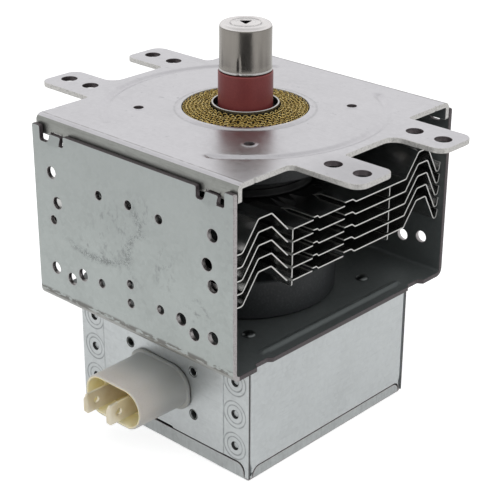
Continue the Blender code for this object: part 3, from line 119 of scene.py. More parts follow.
# ---- outlines


def arc(centre, radius, start, end, steps):
    points = []
    for i in range(steps + 1):
        angle = start + (end - start) * i / steps
        points.append((centre[0] + radius * math.cos(angle), centre[1] + radius * math.sin(angle)))
    return points


def circle(centre, radius, count):
    return arc(centre, radius, 0.0, 2 * math.pi, count)[:-1]


def filleted(corners, step=math.radians(12)):
    """Outline through (x, y, radius) corners, each rounded by its own radius."""
    points = []
    count = len(corners)
    for i, (x, y, radius) in enumerate(corners):
        here = Vector((x, y))
        if radius <= 0:
            points.append((x, y))
            continue
        before = (Vector(corners[i - 1][:2]) - here).normalized()
        after = (Vector(corners[(i + 1) % count][:2]) - here).normalized()
        half = before.angle(after) / 2
        reach = radius / math.tan(half)
        middle = here + (before + after).normalized() * (radius / math.sin(half))
        first = here + before * reach - middle
        last = here + after * reach - middle
        start = math.atan2(first.y, first.x)
        sweep = (math.atan2(last.y, last.x) - start + math.pi) % (2 * math.pi) - math.pi
        steps = max(3, round(abs(sweep) / step))
        points += arc(middle, radius, start, start + sweep, steps)
    return points


def obround(half_length, half_height, steps=14):
    straight = half_length - half_height
    right = arc((straight, 0), half_height, -math.pi / 2, math.pi / 2, steps)
    left = arc((-straight, 0), half_height, math.pi / 2, 3 * math.pi / 2, steps)
    return right + left


def area(loop):
    total = 0.0
    for i, (x, y) in enumerate(loop):
        total += loop[i - 1][0] * y - x * loop[i - 1][1]
    return total / 2


def wound(loop, positive):
    return list(loop) if (area(loop) > 0) == positive else list(loop)[::-1]


def shifted(loop, distance):
    """The loop moved to its left by distance."""
    moved = []
    count = len(loop)
    for i in range(count):
        here = Vector(loop[i])
        first = (here - Vector(loop[i - 1])).normalized()
        second = (Vector(loop[(i + 1) % count]) - here).normalized()
        one = Vector((-first.y, first.x))
        two = Vector((-second.y, second.x))
        middle = one + two
        middle = middle.normalized() if middle.length > 1e-6 else one
        moved.append(tuple(here + middle * distance / max(middle.dot(one), 0.6)))
    return moved


def refined(loop, rows, step):
    """The loop with a point wherever it crosses a row, and none of its runs longer than step."""
    points = []
    for i in range(len(loop)):
        start = loop[i - 1]
        end = loop[i]
        length = math.dist(start, end)
        if length < 1e-9:
            continue
        cuts = {0.0}
        pieces = math.ceil(length / step)
        cuts.update(k / pieces for k in range(1, pieces))
        rise = end[1] - start[1]
        if abs(rise) > 1e-9:
            crossings = [(row - start[1]) / rise for row in rows]
            cuts.update(t for t in crossings if 1e-4 / length < t < 1 - 1e-4 / length)
        kept = []
        for t in sorted(cuts):
            if not kept or (t - kept[-1]) * length > 0.00004:
                kept.append(t)
        for t in kept:
            points.append((start[0] + (end[0] - start[0]) * t, start[1] + rise * t))
    return points


def spread(start, end, step):
    """Evenly spaced numbers from start to end, about step apart."""
    count = max(1, round(abs(end - start) / step))
    return [start + (end - start) * i / count for i in range(count + 1)]


def inside(points, loop):
    """Which points lie inside the loop."""
    x = points[:, 0]
    y = points[:, 1]
    hit = np.zeros(len(points), dtype=bool)
    for i in range(len(loop)):
        ax, ay = loop[i - 1]
        bx, by = loop[i]
        if ay == by:
            continue
        crosses = (ay > y) != (by > y)
        hit ^= crosses & (x < (bx - ax) * (y - ay) / (by - ay) + ax)
    return hit


class Fold:
    """A line of straight runs and round bends, measured along its length from its middle."""

    def __init__(self, corners, middle=None):
        self.runs = []
        here = Vector(corners[0][:2])
        length = 0.0
        for i in range(1, len(corners)):
            corner = Vector(corners[i][:2])
            radius = corners[i][2] if i < len(corners) - 1 else 0.0
            along = (corner - here).normalized()
            stop = corner
            if radius > 0:
                onward = (Vector(corners[i + 1][:2]) - corner).normalized()
                turn = along.angle_signed(onward)
                stop = corner - along * radius * math.tan(abs(turn) / 2)
            self.runs.append((length, here.copy(), along, 0.0, 0.0))
            length += (stop - here).length
            here = stop
            if radius > 0:
                swing = -turn
                self.runs.append((length, here.copy(), along, radius, swing))
                length += radius * abs(swing)
                here = corner + onward * radius * math.tan(abs(turn) / 2)
        self.length = length
        self.start = -length / 2 if middle is None else -middle

    def at(self, place):
        """The point there, and the direction to the left of the line."""
        distance = place - self.start
        run = self.runs[0]
        for candidate in self.runs:
            if candidate[0] <= distance + 1e-12:
                run = candidate
        begun, point, along, radius, swing = run
        t = distance - begun
        left = Vector((-along.y, along.x))
        if radius == 0:
            return point + along * t, left
        sign = 1 if swing > 0 else -1
        angle = sign * t / radius
        centre = point + left * sign * radius
        spoke = Matrix.Rotation(angle, 2) @ (point - centre)
        return centre + spoke, Matrix.Rotation(angle, 2) @ left

    def rows(self, step, bend_step=math.radians(15)):
        """Places along the line, closer together in the bends."""
        places = []
        ends = [run[0] for run in self.runs[1:]] + [self.length]
        for (begun, _, _, radius, swing), end in zip(self.runs, ends):
            size = step if radius == 0 else max(radius * bend_step, 0.0001)
            places += spread(begun, end, size)[:-1]
        places.append(self.length)
        return [place + self.start for place in places]


# ---- bodies


def sheet_body(outline, place, thickness, rows, columns, holes=(), extra=(), edge=EDGE,
               step=0.0025, bm=None):
    """An outline with holes as sheet metal with rounded cut edges, set by place(x, u, depth).

    Its faces carry material 0 in front, 1 behind and 2 on the cut edges.
    """
    bm = bm or bmesh.new()
    loops = [wound(refined(outline, rows, step), True)]
    loops += [wound(hole, False) for hole in holes]
    brims = [shifted(loop, edge) for loop in loops]

    grid = np.array([(x, u) for x in columns for u in rows] + [tuple(point) for point in extra])
    keep = inside(grid, brims[0])
    for brim in brims[1:]:
        keep &= ~inside(grid, brim)
    grid = grid[keep]
    rim = np.array([point for brim in brims for point in brim])
    if len(grid):
        near = np.full(len(grid), np.inf)
        for start in range(0, len(rim), 400):
            part = rim[start:start + 400]
            away = grid[:, None] - part[None, :]
            near = np.minimum(near, np.hypot(away[..., 0], away[..., 1]).min(axis=1))
        grid = grid[near > 0.00025]

    points = [tuple(point) for point in rim] + [tuple(point) for point in grid]
    edges = []
    index = 0
    spans = []
    for brim in brims:
        count = len(brim)
        spans.append((index, count))
        edges += [(index + k, index + (k + 1) % count) for k in range(count)]
        index += count
    flat = [Vector((x * 1000, y * 1000)) for x, y in points]
    corners, _, faces, sources = delaunay_2d_cdt(flat, edges, [], 0, 1e-5)[:4]
    spots = np.array([(corner.x / 1000, corner.y / 1000) for corner in corners])
    centres = np.array([spots[list(face)].mean(axis=0) for face in faces])
    keep = inside(centres, brims[0])
    for brim in brims[1:]:
        keep &= ~inside(centres, brim)

    front = {}
    back = {}
    for kept, face in zip(keep, faces):
        if not kept:
            continue
        for corner in face:
            if corner not in front:
                x, u = spots[corner]
                front[corner] = bm.verts.new(place(x, u, 0.0))
                back[corner] = bm.verts.new(place(x, u, thickness))
        bm.faces.new([front[corner] for corner in face]).material_index = 0
        bm.faces.new([back[corner] for corner in reversed(face)]).material_index = 1

    found = {}
    for corner, origins in enumerate(sources):
        for origin in origins:
            found[origin] = corner
    for loop, (first, count) in zip(loops, spans):
        soft = shifted(loop, edge * 0.3)
        numbers = [found.get(first + k) for k in range(count)]
        if any(number not in front for number in numbers):
            continue
        rings = [
            [front[number] for number in numbers],
            [bm.verts.new(place(x, u, edge * 0.3)) for x, u in soft],
            [bm.verts.new(place(x, u, edge)) for x, u in loop],
            [bm.verts.new(place(x, u, thickness - edge)) for x, u in loop],
            [bm.verts.new(place(x, u, thickness - edge * 0.3)) for x, u in soft],
            [back[number] for number in numbers],
        ]
        for one, two in zip(rings, rings[1:]):
            for k in range(count):
                face = bm.faces.new((one[k - 1], one[k], two[k], two[k - 1]))
                face.material_index = 2
    return bm


def lathe(profile, count, bm=None, centre=(0, 0), shape=None, material_index=0):
    """A closed (r, z) profile turned about a vertical axis; shape(x, y, z) may move each point."""
    bm = bm or bmesh.new()
    rings = []
    for radius, height in profile:
        sides = [(0.0, 0.0)] if radius == 0 else circle((0, 0), radius, count)
        ring = []
        for x, y in sides:
            point = (x + centre[0], y + centre[1], height)
            ring.append(bm.verts.new(shape(*point) if shape else point))
        rings.append(ring)
    for one, two in zip(rings, rings[1:] + rings[:1]):
        if len(one) == 1 and len(two) == 1:
            continue
        for i in range(count):
            if len(one) == 1:
                corners = [one[0], two[i], two[i - 1]]
            elif len(two) == 1:
                corners = [one[i - 1], one[i], two[0]]
            else:
                corners = [one[i - 1], one[i], two[i], two[i - 1]]
            bm.faces.new(corners).material_index = material_index
    return bm


def rounded_profile(corners, step=math.radians(18)):
    """A closed (r, z) profile through (r, z, radius) corners."""
    return filleted(corners, step)


def loft(sections, bm=None, cap_start=True, cap_end=True, material_index=0):
    bm = bm or bmesh.new()
    rings = [[bm.verts.new(point) for point in section] for section in sections]
    for one, two in zip(rings, rings[1:]):
        for i in range(len(one)):
            bm.faces.new((one[i - 1], one[i], two[i], two[i - 1])).material_index = material_index
    if cap_start:
        bm.faces.new(rings[0]).material_index = material_index
    if cap_end:
        bm.faces.new(rings[-1][::-1]).material_index = material_index
    return bm


def wire(points, radius, sides, bm, closed=False):
    """A round wire along a list of points."""
    path = [Vector(point) for point in points]
    count = len(path)
    rings = []
    up = Vector((0, 0, 1))
    for i, here in enumerate(path):
        before = path[i - 1] if closed else path[max(i - 1, 0)]
        after = path[(i + 1) % count] if closed else path[min(i + 1, count - 1)]
        along = (after - before).normalized()
        across = along.cross(up).normalized()
        third = across.cross(along)
        ring = []
        for k in range(sides):
            angle = 2 * math.pi * (k + 0.5) / sides
            spoke = math.cos(angle) * across + math.sin(angle) * third
            ring.append(bm.verts.new(here + radius * spoke))
        rings.append(ring)
    pairs = list(zip(rings, rings[1:]))
    if closed:
        pairs.append((rings[-1], rings[0]))
    for one, two in pairs:
        for k in range(sides):
            bm.faces.new((one[k - 1], one[k], two[k], two[k - 1]))


def eased(t):
    t = max(0.0, min(1.0, t))
    return t * t * (3 - 2 * t)


def faces_at(bm):
    """Each face with its centre."""
    return [(face, face.calc_center_median()) for face in bm.faces]


def piece(name, bm, looks, nodes, angle=50, weighted=True):
    """Makes the body a piece of the tube that stands for the nodes; looks are names in LOOKS."""
    bmesh.ops.recalc_face_normals(bm, faces=bm.faces)
    mesh = bpy.data.meshes.new(name)
    bm.to_mesh(mesh)
    bm.free()
    for look in looks.split():
        mesh.materials.append(LOOKS[look])
    mesh.shade_smooth()
    mesh.set_sharp_from_angle(angle=math.radians(angle))
    made = bpy.data.objects.new(name, mesh)
    bpy.context.collection.objects.link(made)
    if weighted:
        modifier = made.modifiers.new("weighted_normals", "WEIGHTED_NORMAL")
        modifier.keep_sharp = True
    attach(made, "root")
    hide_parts(*nodes)


# ---- materials


class Nodes:
    """Short ways to fill a node tree."""

    def __init__(self, tree):
        self.nodes = tree.nodes
        self.links = tree.links

    def feed(self, socket, value):
        if isinstance(value, bpy.types.NodeSocket):
            self.links.new(value, socket)
        else:
            socket.default_value = value

    def node(self, kind, inputs=None, **settings):
        """A new node with its settings, and its inputs fed by name or number."""
        made = self.nodes.new(kind)
        for key, value in settings.items():
            setattr(made, key, value)
        for key, value in (inputs or {}).items():
            self.feed(made.inputs[key], value)
        return made

    def math(self, operation, one, two=0.0):
        return self.node("ShaderNodeMath", {0: one, 1: two}, operation=operation).outputs["Value"]

    def times(self, one, two):
        return self.math("MULTIPLY", one, two)

    def minus(self, one, two):
        return self.math("SUBTRACT", one, two)

    def highest(self, one, two):
        return self.math("MAXIMUM", one, two)

    def length(self, one, two):
        return self.math("SQRT", self.math("ADD", self.times(one, one), self.times(two, two)))

    def span(self, value, start, stop, least=0.0, most=1.0, smooth=False):
        """The value's place between start and stop, as a number between least and most."""
        inputs = {"Value": value, "From Min": start, "From Max": stop,
                  "To Min": least, "To Max": most}
        kind = "SMOOTHSTEP" if smooth else "LINEAR"
        return self.node("ShaderNodeMapRange", inputs, interpolation_type=kind).outputs["Result"]

    def line(self, value, centre, wide, thin):
        """1 where the value is within thin of the centre, falling to 0 at wide."""
        return self.span(self.math("ABSOLUTE", self.minus(value, centre)), wide, thin)

    def band(self, value, start, full, fading, end):
        """1 between full and fading, falling to 0 at start and at end."""
        return self.times(self.span(value, start, full), self.span(value, end, fading))

    def split(self, vector, letter):
        return self.node("ShaderNodeSeparateXYZ", {"Vector": vector}).outputs[letter]

    def mixed(self, factor, one, two):
        return self.node("ShaderNodeMixShader", {0: factor, 1: one, 2: two}).outputs["Shader"]


class Look(Nodes):
    """One procedural material, built node by node."""

    def __init__(self, name, colour, roughness, metallic=0.0):
        self.material = bpy.data.materials.new(name)
        self.material.use_nodes = True
        super().__init__(self.material.node_tree)
        self.shader = self.nodes["Principled BSDF"]
        self.colour = (*colour, 1.0)
        self.normal = None
        self.keep({"Base Color": self.colour, "Roughness": roughness, "Metallic": metallic})
        self.place = self.node("ShaderNodeTexCoord").outputs["Object"]

    def keep(self, values):
        for key, value in values.items():
            self.shader.inputs[key].default_value = value

    def axis(self, letter):
        return self.split(self.place, letter)

    def mapped(self, scale, location=(0, 0, 0)):
        inputs = {"Vector": self.place, "Scale": scale, "Location": location}
        return self.node("ShaderNodeMapping", inputs).outputs["Vector"]

    def noise(self, scale, detail=3.0, rough=0.5, stretch=None, distortion=0.0):
        vector = self.mapped(stretch) if stretch else self.place
        inputs = {"Vector": vector, "Scale": scale, "Detail": detail, "Roughness": rough,
                  "Distortion": distortion}
        return self.node("ShaderNodeTexNoise", inputs).outputs["Fac"]

    def patch(self, centre, size):
        """1 at the centre, falling to 0 at the edge of an ellipsoid of that size."""
        scale = tuple(1 / s for s in size)
        moved = self.mapped(scale, tuple(-c / s for c, s in zip(centre, size)))
        reach = self.node("ShaderNodeVectorMath", {0: moved}, operation="LENGTH")
        return self.span(reach.outputs["Value"], 1.0, 0.3, smooth=True)

    def tint(self, factor, colour):
        """Mixes another colour over the base colour by factor."""
        inputs = {"Factor": factor, "A": self.colour, "B": (*colour, 1.0)}
        self.colour = self.node("ShaderNodeMix", inputs, data_type="RGBA").outputs["Result"]
        self.links.new(self.colour, self.shader.inputs["Base Color"])

    def cover(self, field, start, stop, most, colour):
        self.tint(self.span(field, start, stop, 0.0, most), colour)

    def rough(self, factor, lowest, highest):
        value = self.span(factor, 0.0, 1.0, lowest, highest)
        self.links.new(value, self.shader.inputs["Roughness"])

    def bump(self, height, depth, strength):
        inputs = {"Strength": strength, "Distance": depth, "Height": height}
        if self.normal is not None:
            inputs["Normal"] = self.normal
        self.normal = self.node("ShaderNodeBump", inputs).outputs["Normal"]
        self.links.new(self.normal, self.shader.inputs["Normal"])


def shaded(colour, factor):
    return tuple(c * factor for c in colour)


def waxy(weight, radius):
    return {"Subsurface Weight": weight, "Subsurface Radius": radius, "Subsurface Scale": 1.0}


def simple(name, colour, roughness, metallic, tints, bumps, rough=None, values=None):
    """A material made of noises.

    tints are (noise, start, stop, most, colour), bumps are (noise, depth, strength) and rough is
    (noise, lowest, highest); values are constants of the shader.
    """
    look = Look(name, colour, roughness, metallic)
    for noise, *cover in tints:
        look.cover(look.noise(*noise), *cover)
    if rough:
        look.rough(look.noise(*rough[0]), *rough[1:])
    for noise, *bump in bumps:
        look.bump(look.noise(*noise), *bump)
    look.keep(values or {})
    return look


def drawn(name, colour, roughness, lines=(900.0, 3.0, 0.6), stains=(260.0, 2.0)):
    """Drawn or rolled metal."""
    return simple(name, colour, roughness, 1.0, [(lines, 0.45, 0.75, 0.5, shaded(colour, 0.8))],
                  [(lines, 0.00001, 0.5)], (stains, roughness * 0.8, roughness * 1.3))


def cut_edge(name, colour, metallic):
    lines = (1800.0, 3.0, 0.6)
    return simple(name, colour, 0.42, metallic, [(lines, 0.45, 0.7, 1.0, shaded(colour, 0.7))],
                  [(lines, 0.00003, 0.6)])


def zinc(name, colour, roughness, shade=0.86, grain=0.00002, drag=None):
    """Zinc plate: fine spangle, soft clouds and, with drag, lines from the rolls or the press."""
    look = Look(name, colour, roughness, 1.0)
    darker = shaded(colour, shade)
    look.cover(look.noise(55.0, 4.0, 0.55), 0.42, 0.72, 1.0, darker)
    spangle = look.node("ShaderNodeTexVoronoi", {"Vector": look.place, "Scale": 900.0})
    split = look.node("ShaderNodeSeparateColor", {"Color": spangle.outputs["Color"]})
    look.cover(split.outputs["Red"], 0.0, 1.0, 0.55, shaded(colour, 1.07))
    fine = look.noise(2600.0, 2.0, 0.6)
    look.cover(fine, 0.55, 0.8, 0.5, darker)
    look.rough(look.math("MULTIPLY_ADD", split.outputs["Green"], 0.5),
               roughness * 0.85, roughness * 1.25)
    look.bump(fine, grain, 0.5)
    look.bump(look.noise(140.0, 2.0), grain * 8, 0.25)
    if drag:
        look.cover(look.noise(1.0, 3.0, 0.6, drag[0]), *drag[1:])
    return look


def wall_zinc():
    """The yoke's wall: cloudy scuffs, two rubbed lines, painted shade darkening it towards its top,
    and a darker, warmer band over the bend at its foot with a line of dark dashes along its upper
    part.
    """
    look = zinc("wall_zinc", (0.40, 0.43, 0.42), 0.36)
    height = look.axis("Z")
    side = look.axis("X")

    def spot(x, z, size_x, size_z):
        return look.patch((x, -YOKE_FACE, z), (size_x, 0.004, size_z))

    # Painted shade: the wall darkens towards its top, under the plate's flange.
    look.cover(height, 0.062, 0.092, 0.55, (0.335, 0.355, 0.352))
    for centre, streak in (
        ((-0.006, 0.068, 0.012, 0.014), (520, 520, 300)),
        ((-0.016, 0.060, 0.014, 0.005), (420, 420, 500)),
        ((0.006, 0.078, 0.008, 0.007), (600, 600, 300)),
        ((0.014, 0.064, 0.006, 0.010), (500, 500, 300)),
        ((0.026, 0.056, 0.008, 0.006), (400, 400, 500)),
    ):
        streaks = look.span(look.noise(1.0, 5.0, 0.65, streak), 0.54, 0.66, 0.0, 0.8)
        look.tint(look.times(spot(*centre), streaks), (0.25, 0.265, 0.262))

    broken = look.span(look.noise(1500.0, 4.0, 0.7, distortion=1.5), 0.46, 0.58)
    off = look.math("ADD", side, 0.0155)
    sag = look.times(look.times(off, off), 16.0)
    line = look.line(look.minus(height, 0.0587), sag, 0.00190, 0.00020)
    line = look.times(line, spot(-0.0125, 0.061, 0.0190, 0.012))
    look.tint(look.times(line, look.times(broken, 0.75)), (0.13, 0.14, 0.14))

    wander = look.times(look.noise(90.0, 2.0), 5.0)
    swing = look.math("SINE", look.math("ADD", look.times(height, 330.0), wander))
    curl = look.line(look.minus(side, look.times(swing, 0.0030)), 0.0020, 0.00260, 0.00030)
    curl = look.times(curl, spot(0.002, 0.069, 0.010, 0.017))
    look.tint(look.times(curl, look.times(broken, 0.7)), (0.14, 0.15, 0.15))

    foot = YOKE_UNDERSIDE
    below = look.band(height, foot, foot + 0.0004, foot + 0.0020, foot + 0.0026)
    look.tint(look.times(below, 0.6), (0.33, 0.315, 0.30))
    stain = look.band(height, foot + 0.0016, foot + 0.0022, foot + 0.0031, foot + 0.0038)
    streaks = look.span(look.noise(1.0, 4.0, 0.6, (330, 330, 900)), 0.44, 0.52, 0.0, 0.85)
    look.tint(look.times(stain, streaks), (0.15, 0.145, 0.135))
    return look


def box_zinc():
    """Tinned sheet, with painted shade along the steps of the dents round its clinched joints and
    along the step where it is joggled.
    """
    look = zinc("box_zinc", (0.55, 0.575, 0.58), 0.40, shade=0.90,
                drag=((120, 120, 1500), 0.56, 0.75, 0.35, (0.42, 0.44, 0.45)))
    width = look.math("ABSOLUTE", look.axis("X"))
    row = look.minus(look.axis("Z"), CLINCH_TOP - 2.5 * CLINCH_PITCH)
    row = look.minus(look.math("FLOORED_MODULO", row, CLINCH_PITCH), CLINCH_PITCH / 2)
    radius = look.length(look.minus(width, CLINCH_REACH), row)
    # Painted shade: thin dark lines on the panel's face along the dent steps of the clinches and
    # the joggle.
    lines = look.line(width, JOGGLE, 0.00030, 0.00008)
    for ring in (0.0042, 0.0029):
        lines = look.highest(lines, look.line(radius, ring, 0.00030, 0.00010))
    depth = look.math("ABSOLUTE", look.axis("Y"))
    facing = look.span(depth, PANEL_FACE - 0.0012, PANEL_FACE - 0.0009)
    soft = look.span(look.noise(500.0, 2.0), 0.30, 0.55, 0.35, 0.75)
    look.tint(look.times(look.times(lines, facing), soft), (0.22, 0.235, 0.24))
    return look


def plate_zinc():
    """The plate's top: rolling lines, dark specks, painted shade over the right ear, and painted
    shade along the crease where the fold begins and round the foot of the raised rim at the gasket.
    """
    look = zinc("plate_zinc", (0.61, 0.60, 0.625), 0.27, shade=0.93, grain=0.00001)
    lines = look.noise(1.0, 4.0, 0.6, (90, 2600, 90))
    look.cover(lines, 0.50, 0.75, 0.30, (0.50, 0.50, 0.52))
    # Painted shade: the right ear darker than the rest of the top.
    right_ear_shade = look.patch((0.060, -0.018, PLATE_TOP), (0.024, 0.016, 0.01))
    look.tint(look.times(right_ear_shade, 0.6), (0.41, 0.405, 0.42))
    look.bump(lines, 0.000008, 0.4)
    look.cover(look.noise(420.0, 2.0), 0.70, 0.76, 0.5, (0.36, 0.36, 0.38))
    side = look.math("ABSOLUTE", look.axis("Y"))
    # Painted shade, broken up by noise: a thin dark line along the crease where the fold begins,
    # and a ring round the foot of the raised rim at the gasket.
    shade_breakup = look.span(look.noise(600.0), 0.35, 0.5, 0.3, 0.8)
    crease_shade = look.line(side, PLATE_FACE - 0.0021, 0.00035, 0.0001)
    look.tint(look.times(crease_shade, shade_breakup), (0.30, 0.29, 0.29))
    ring = look.line(look.length(look.axis("X"), side), 0.0207, 0.00055, 0.0001)
    look.tint(look.times(ring, look.times(shade_breakup, 0.6)), (0.36, 0.36, 0.37))
    return look


def inside_zinc_painted_shade():
    """The yoke's inside and the plate's underside: the zinc darkened almost to black with a green
    cast, as painted shade for the dark inside of the yoke.
    """
    look = zinc("inside_zinc_painted_shade", (0.120, 0.134, 0.134), 0.38)
    look.keep({"Metallic": 0.45})
    return look


def cap_top():
    """The crown of the cap as a pale, faintly pink copy of its steel, painted light for the face
    that looks up, with painted shade along its pressed groove.
    """
    look = Look("cap_top", (0.78, 0.755, 0.75), 0.26, 1.0)
    look.cover(look.noise(260.0), 0.45, 0.7, 0.5, (0.68, 0.65, 0.65))
    # Painted shade along the pressed groove, broken up by noise.
    radius = look.length(look.axis("X"), look.axis("Y"))
    shade_breakup = look.span(look.noise(330.0, 2.0), 0.40, 0.52, 0.1, 0.75)
    look.tint(look.times(look.line(radius, CAP_RING, 0.00030, 0.00008), shade_breakup), (0.28, 0.26, 0.27))
    look.bump(look.noise(1500.0, 2.0), 0.00001, 0.5)
    return look


def ivory():
    """The moulding's outside, greyed as painted shade under the yoke's overhang, and paler and
    warmer towards its open end, where that painted shade lifts.
    """
    look = Look("ivory_moulding", (0.40, 0.405, 0.39), 0.42)
    mouth = low("capacitor_housing")[1]
    # Painted light: paler and warmer towards the mouth.
    lit_towards_mouth = look.span(look.axis("Y"), mouth + 0.0130, mouth + 0.0010, smooth=True)
    look.tint(lit_towards_mouth, (0.56, 0.53, 0.495))
    look.cover(look.noise(70.0), 0.42, 0.7, 0.3, (0.37, 0.37, 0.355))
    fine = look.noise(2200.0, 2.0)
    look.cover(fine, 0.5, 0.8, 0.3, (0.40, 0.39, 0.37))
    look.bump(fine, 0.00001, 0.5)
    look.keep(waxy(0.35, (0.0020, 0.0017, 0.0011)))
    return look


LOOKS = {
    "wall": wall_zinc(),
    "box": box_zinc(),
    "skirt": zinc("skirt_zinc", (0.47, 0.49, 0.49), 0.45, shade=0.85,
                  drag=((1100, 1100, 130), 0.50, 0.70, 0.5, (0.32, 0.33, 0.33))),
    "plate": plate_zinc(),
    # Painted shade: a darker copy of the plate's zinc for its fold and flange; the drag lines on it
    # are its own.
    "flange": zinc("flange_zinc_painted_shade", (0.31, 0.318, 0.30), 0.36,
                   drag=((150, 600, 1400), 0.50, 0.72, 0.4, (0.20, 0.20, 0.185))),
    "inside": inside_zinc_painted_shade(),
    "cut": cut_edge("cut_edge", (0.42, 0.40, 0.40), 1.0),
    # Painted shade: near-black cut edges where they lie in shade.
    "dark_cut": cut_edge("dark_cut", (0.085, 0.072, 0.076), 0.5),
    "plate_cut": cut_edge("plate_cut", (0.60, 0.59, 0.57), 0.5),
    # Painted shade: the box panels' cut edges near-black, for the dark seams round the panels.
    "panel_cut": cut_edge("panel_cut", (0.10, 0.10, 0.10), 0.5),
    "steel": drawn("collar_steel", (0.19, 0.19, 0.19), 0.28),
    "rim": drawn("rim_painted_highlight", (0.55, 0.54, 0.53), 0.25),
    # Painted shade: the rivet heads inside the yoke near-black, like the yoke's inside.
    "rivet": drawn("rivet_painted_shade", (0.13, 0.14, 0.14), 0.34),
    "eyelet": drawn("eyelet_steel", (0.46, 0.48, 0.48), 0.32),
    "fin": drawn("fin_aluminium", (0.62, 0.62, 0.61), 0.22,
                 (1.0, 3.0, 0.6, (60, 1800, 900)), (300.0, 2.0)),
    "fin_edge": simple("fin_edge", (0.64, 0.64, 0.62), 0.45, 0.8,
                       [((2500.0, 2.0, 0.6), 0.5, 0.8, 0.5, (0.48, 0.48, 0.46))],
                       [((2500.0, 2.0, 0.6), 0.00001, 0.5)]),
    # Painted shade: a darkened copy of the cap's steel for its sides; the drawn lines on it are its
    # own.
    "cap": simple("cap_steel", (0.275, 0.258, 0.235), 0.24, 1.0,
                  [((1.0, 4.0, 0.6, (900, 900, 30)), 0.40, 0.65, 0.5, (0.225, 0.21, 0.19)),
                   ((150.0,), 0.5, 0.7, 0.3, (0.235, 0.22, 0.20))],
                  [((1.0, 4.0, 0.6, (900, 900, 30)), 0.000003, 0.3)],
                  ((350.0,), 0.20, 0.30)),
    "cap_top": cap_top(),
    # Painted shade: a near-black look for what sits in the dark inside the tube.
    "dark": simple("painted_shade_dark", (0.020, 0.021, 0.021), 0.5, 0.5,
                   [((300.0,), 0.45, 0.7, 1.0, (0.012, 0.012, 0.013))],
                   [((1200.0, 2.0), 0.00002, 0.5)], ((500.0, 2.0), 0.42, 0.6)),
    "ferrite": simple("ferrite", (0.012, 0.0145, 0.016), 0.55, 0.0,
                      [((1500.0, 4.0, 0.65), 0.5, 0.75, 1.0, (0.035, 0.037, 0.042))],
                      [((1500.0, 4.0, 0.65), 0.00004, 0.6), ((260.0,), 0.00008, 0.35)],
                      ((220.0,), 0.42, 0.65)),
    "pink": simple("pink_ceramic", (0.205, 0.044, 0.042), 0.38, 0.0,
                   [((1900.0, 4.0, 0.6), 0.42, 0.75, 0.6, (0.27, 0.062, 0.059)),
                    ((160.0,), 0.45, 0.7, 0.5, (0.165, 0.034, 0.035))],
                   [((1900.0, 4.0, 0.6), 0.00002, 0.5)], values={"Specular IOR Level": 0.32}),
    "white": simple("white_ceramic", (0.74, 0.73, 0.69), 0.5, 0.0,
                    [((1200.0,), 0.5, 0.8, 0.5, (0.66, 0.64, 0.60))],
                    [((1200.0,), 0.00002, 0.5)]),
    "brass": simple("brass_wire", (0.62, 0.46, 0.15), 0.26, 1.0,
                    [((420.0, 3.0, 0.6), 0.42, 0.62, 0.8, (0.34, 0.235, 0.06)),
                     ((900.0, 2.0), 0.54, 0.66, 0.8, (0.80, 0.68, 0.34))],
                    [((3000.0, 2.0), 0.00002, 0.5)]),
    "mesh": simple("mesh_shadow", (0.020, 0.014, 0.005), 0.7, 0.0,
                   [((1400.0,), 0.5, 0.7, 1.0, (0.040, 0.029, 0.009))],
                   [((1600.0,), 0.0001, 0.8)], values={"Specular IOR Level": 0.2}),
    "ivory": ivory(),
    # Painted light: the moulding's inside as a much paler, more orange copy of its outside.
    "socket": simple("socket_painted_light", (0.88, 0.78, 0.56), 0.35, 0.0,
                     [((240.0,), 0.42, 0.70, 0.5, (0.76, 0.60, 0.35))],
                     [((1500.0, 2.0), 0.00002, 0.5)], values=waxy(0.6, (0.0040, 0.0032, 0.0018))),
    "tin": simple("tinned_brass", (0.78, 0.72, 0.58), 0.30, 0.55,
                  [((220.0, 2.0), 0.42, 0.7, 0.6, (0.66, 0.57, 0.40))],
                  [((1.0, 2.0, 0.5, (400, 60, 700)), 0.000003, 0.3)], ((300.0, 2.0), 0.26, 0.36)),
    "copper": simple("copper", (0.60, 0.30, 0.19), 0.32, 1.0,
                     [((180.0, 4.0), 0.42, 0.7, 1.0, (0.42, 0.20, 0.13))],
                     [((900.0, 2.0), 0.00002, 0.5)]),
    "tungsten": simple("tungsten", (0.20, 0.20, 0.21), 0.42, 1.0,
                       [((900.0,), 0.45, 0.7, 1.0, (0.13, 0.13, 0.14))],
                       [((2000.0, 2.0), 0.00001, 0.5)]),
}
LOOKS = {name: look.material for name, look in LOOKS.items()}


# ---- mounting plate

GROOVE_RADIUS = 0.0410
GROOVE_HALF = 0.0017
GROOVE_DEPTH = 0.00060
GROOVE_SWEEP = math.radians(62.0)
GASKET_HOLE = high("rf_gasket")[0] + GAP
RIM_WIDTH = 0.0022
RIM_HEIGHT = 0.0005
PILOT = 0.0219
PILOT_RADIUS = 0.0014
CRIMP_POST = YOKE_END - 0.0034
TONGUE_OUTER = CRIMP_POST - 0.0030
TONGUE_INNER = TONGUE_OUTER - 0.0048
SLOT_INNER = TONGUE_INNER - 0.0022


def plate_end():
    """Corners of the plate's +X end, front to back, with its ears."""
    nick = 0.0005
    side = 0.0388
    return [
        (YOKE_END, -side - nick, 0), (YOKE_END - nick, -side, 0), (YOKE_END, -side + nick, 0),
        (YOKE_END, -EAR_OUTER, 0.0020), (EAR_REACH, -EAR_OUTER, 0.0038),
        (EAR_REACH, -EAR_INNER, 0.0030), (EAR_ROOT, -EAR_INNER, 0.0011),
        (EAR_ROOT, EAR_INNER, 0.0040), (EAR_REACH, EAR_INNER, 0.0038),
        (EAR_REACH, EAR_OUTER, 0.0038), (YOKE_END, EAR_OUTER, 0.0011), (YOKE_END, side - nick, 0),
        (YOKE_END - nick, side, 0), (YOKE_END, side + nick, 0),
    ]


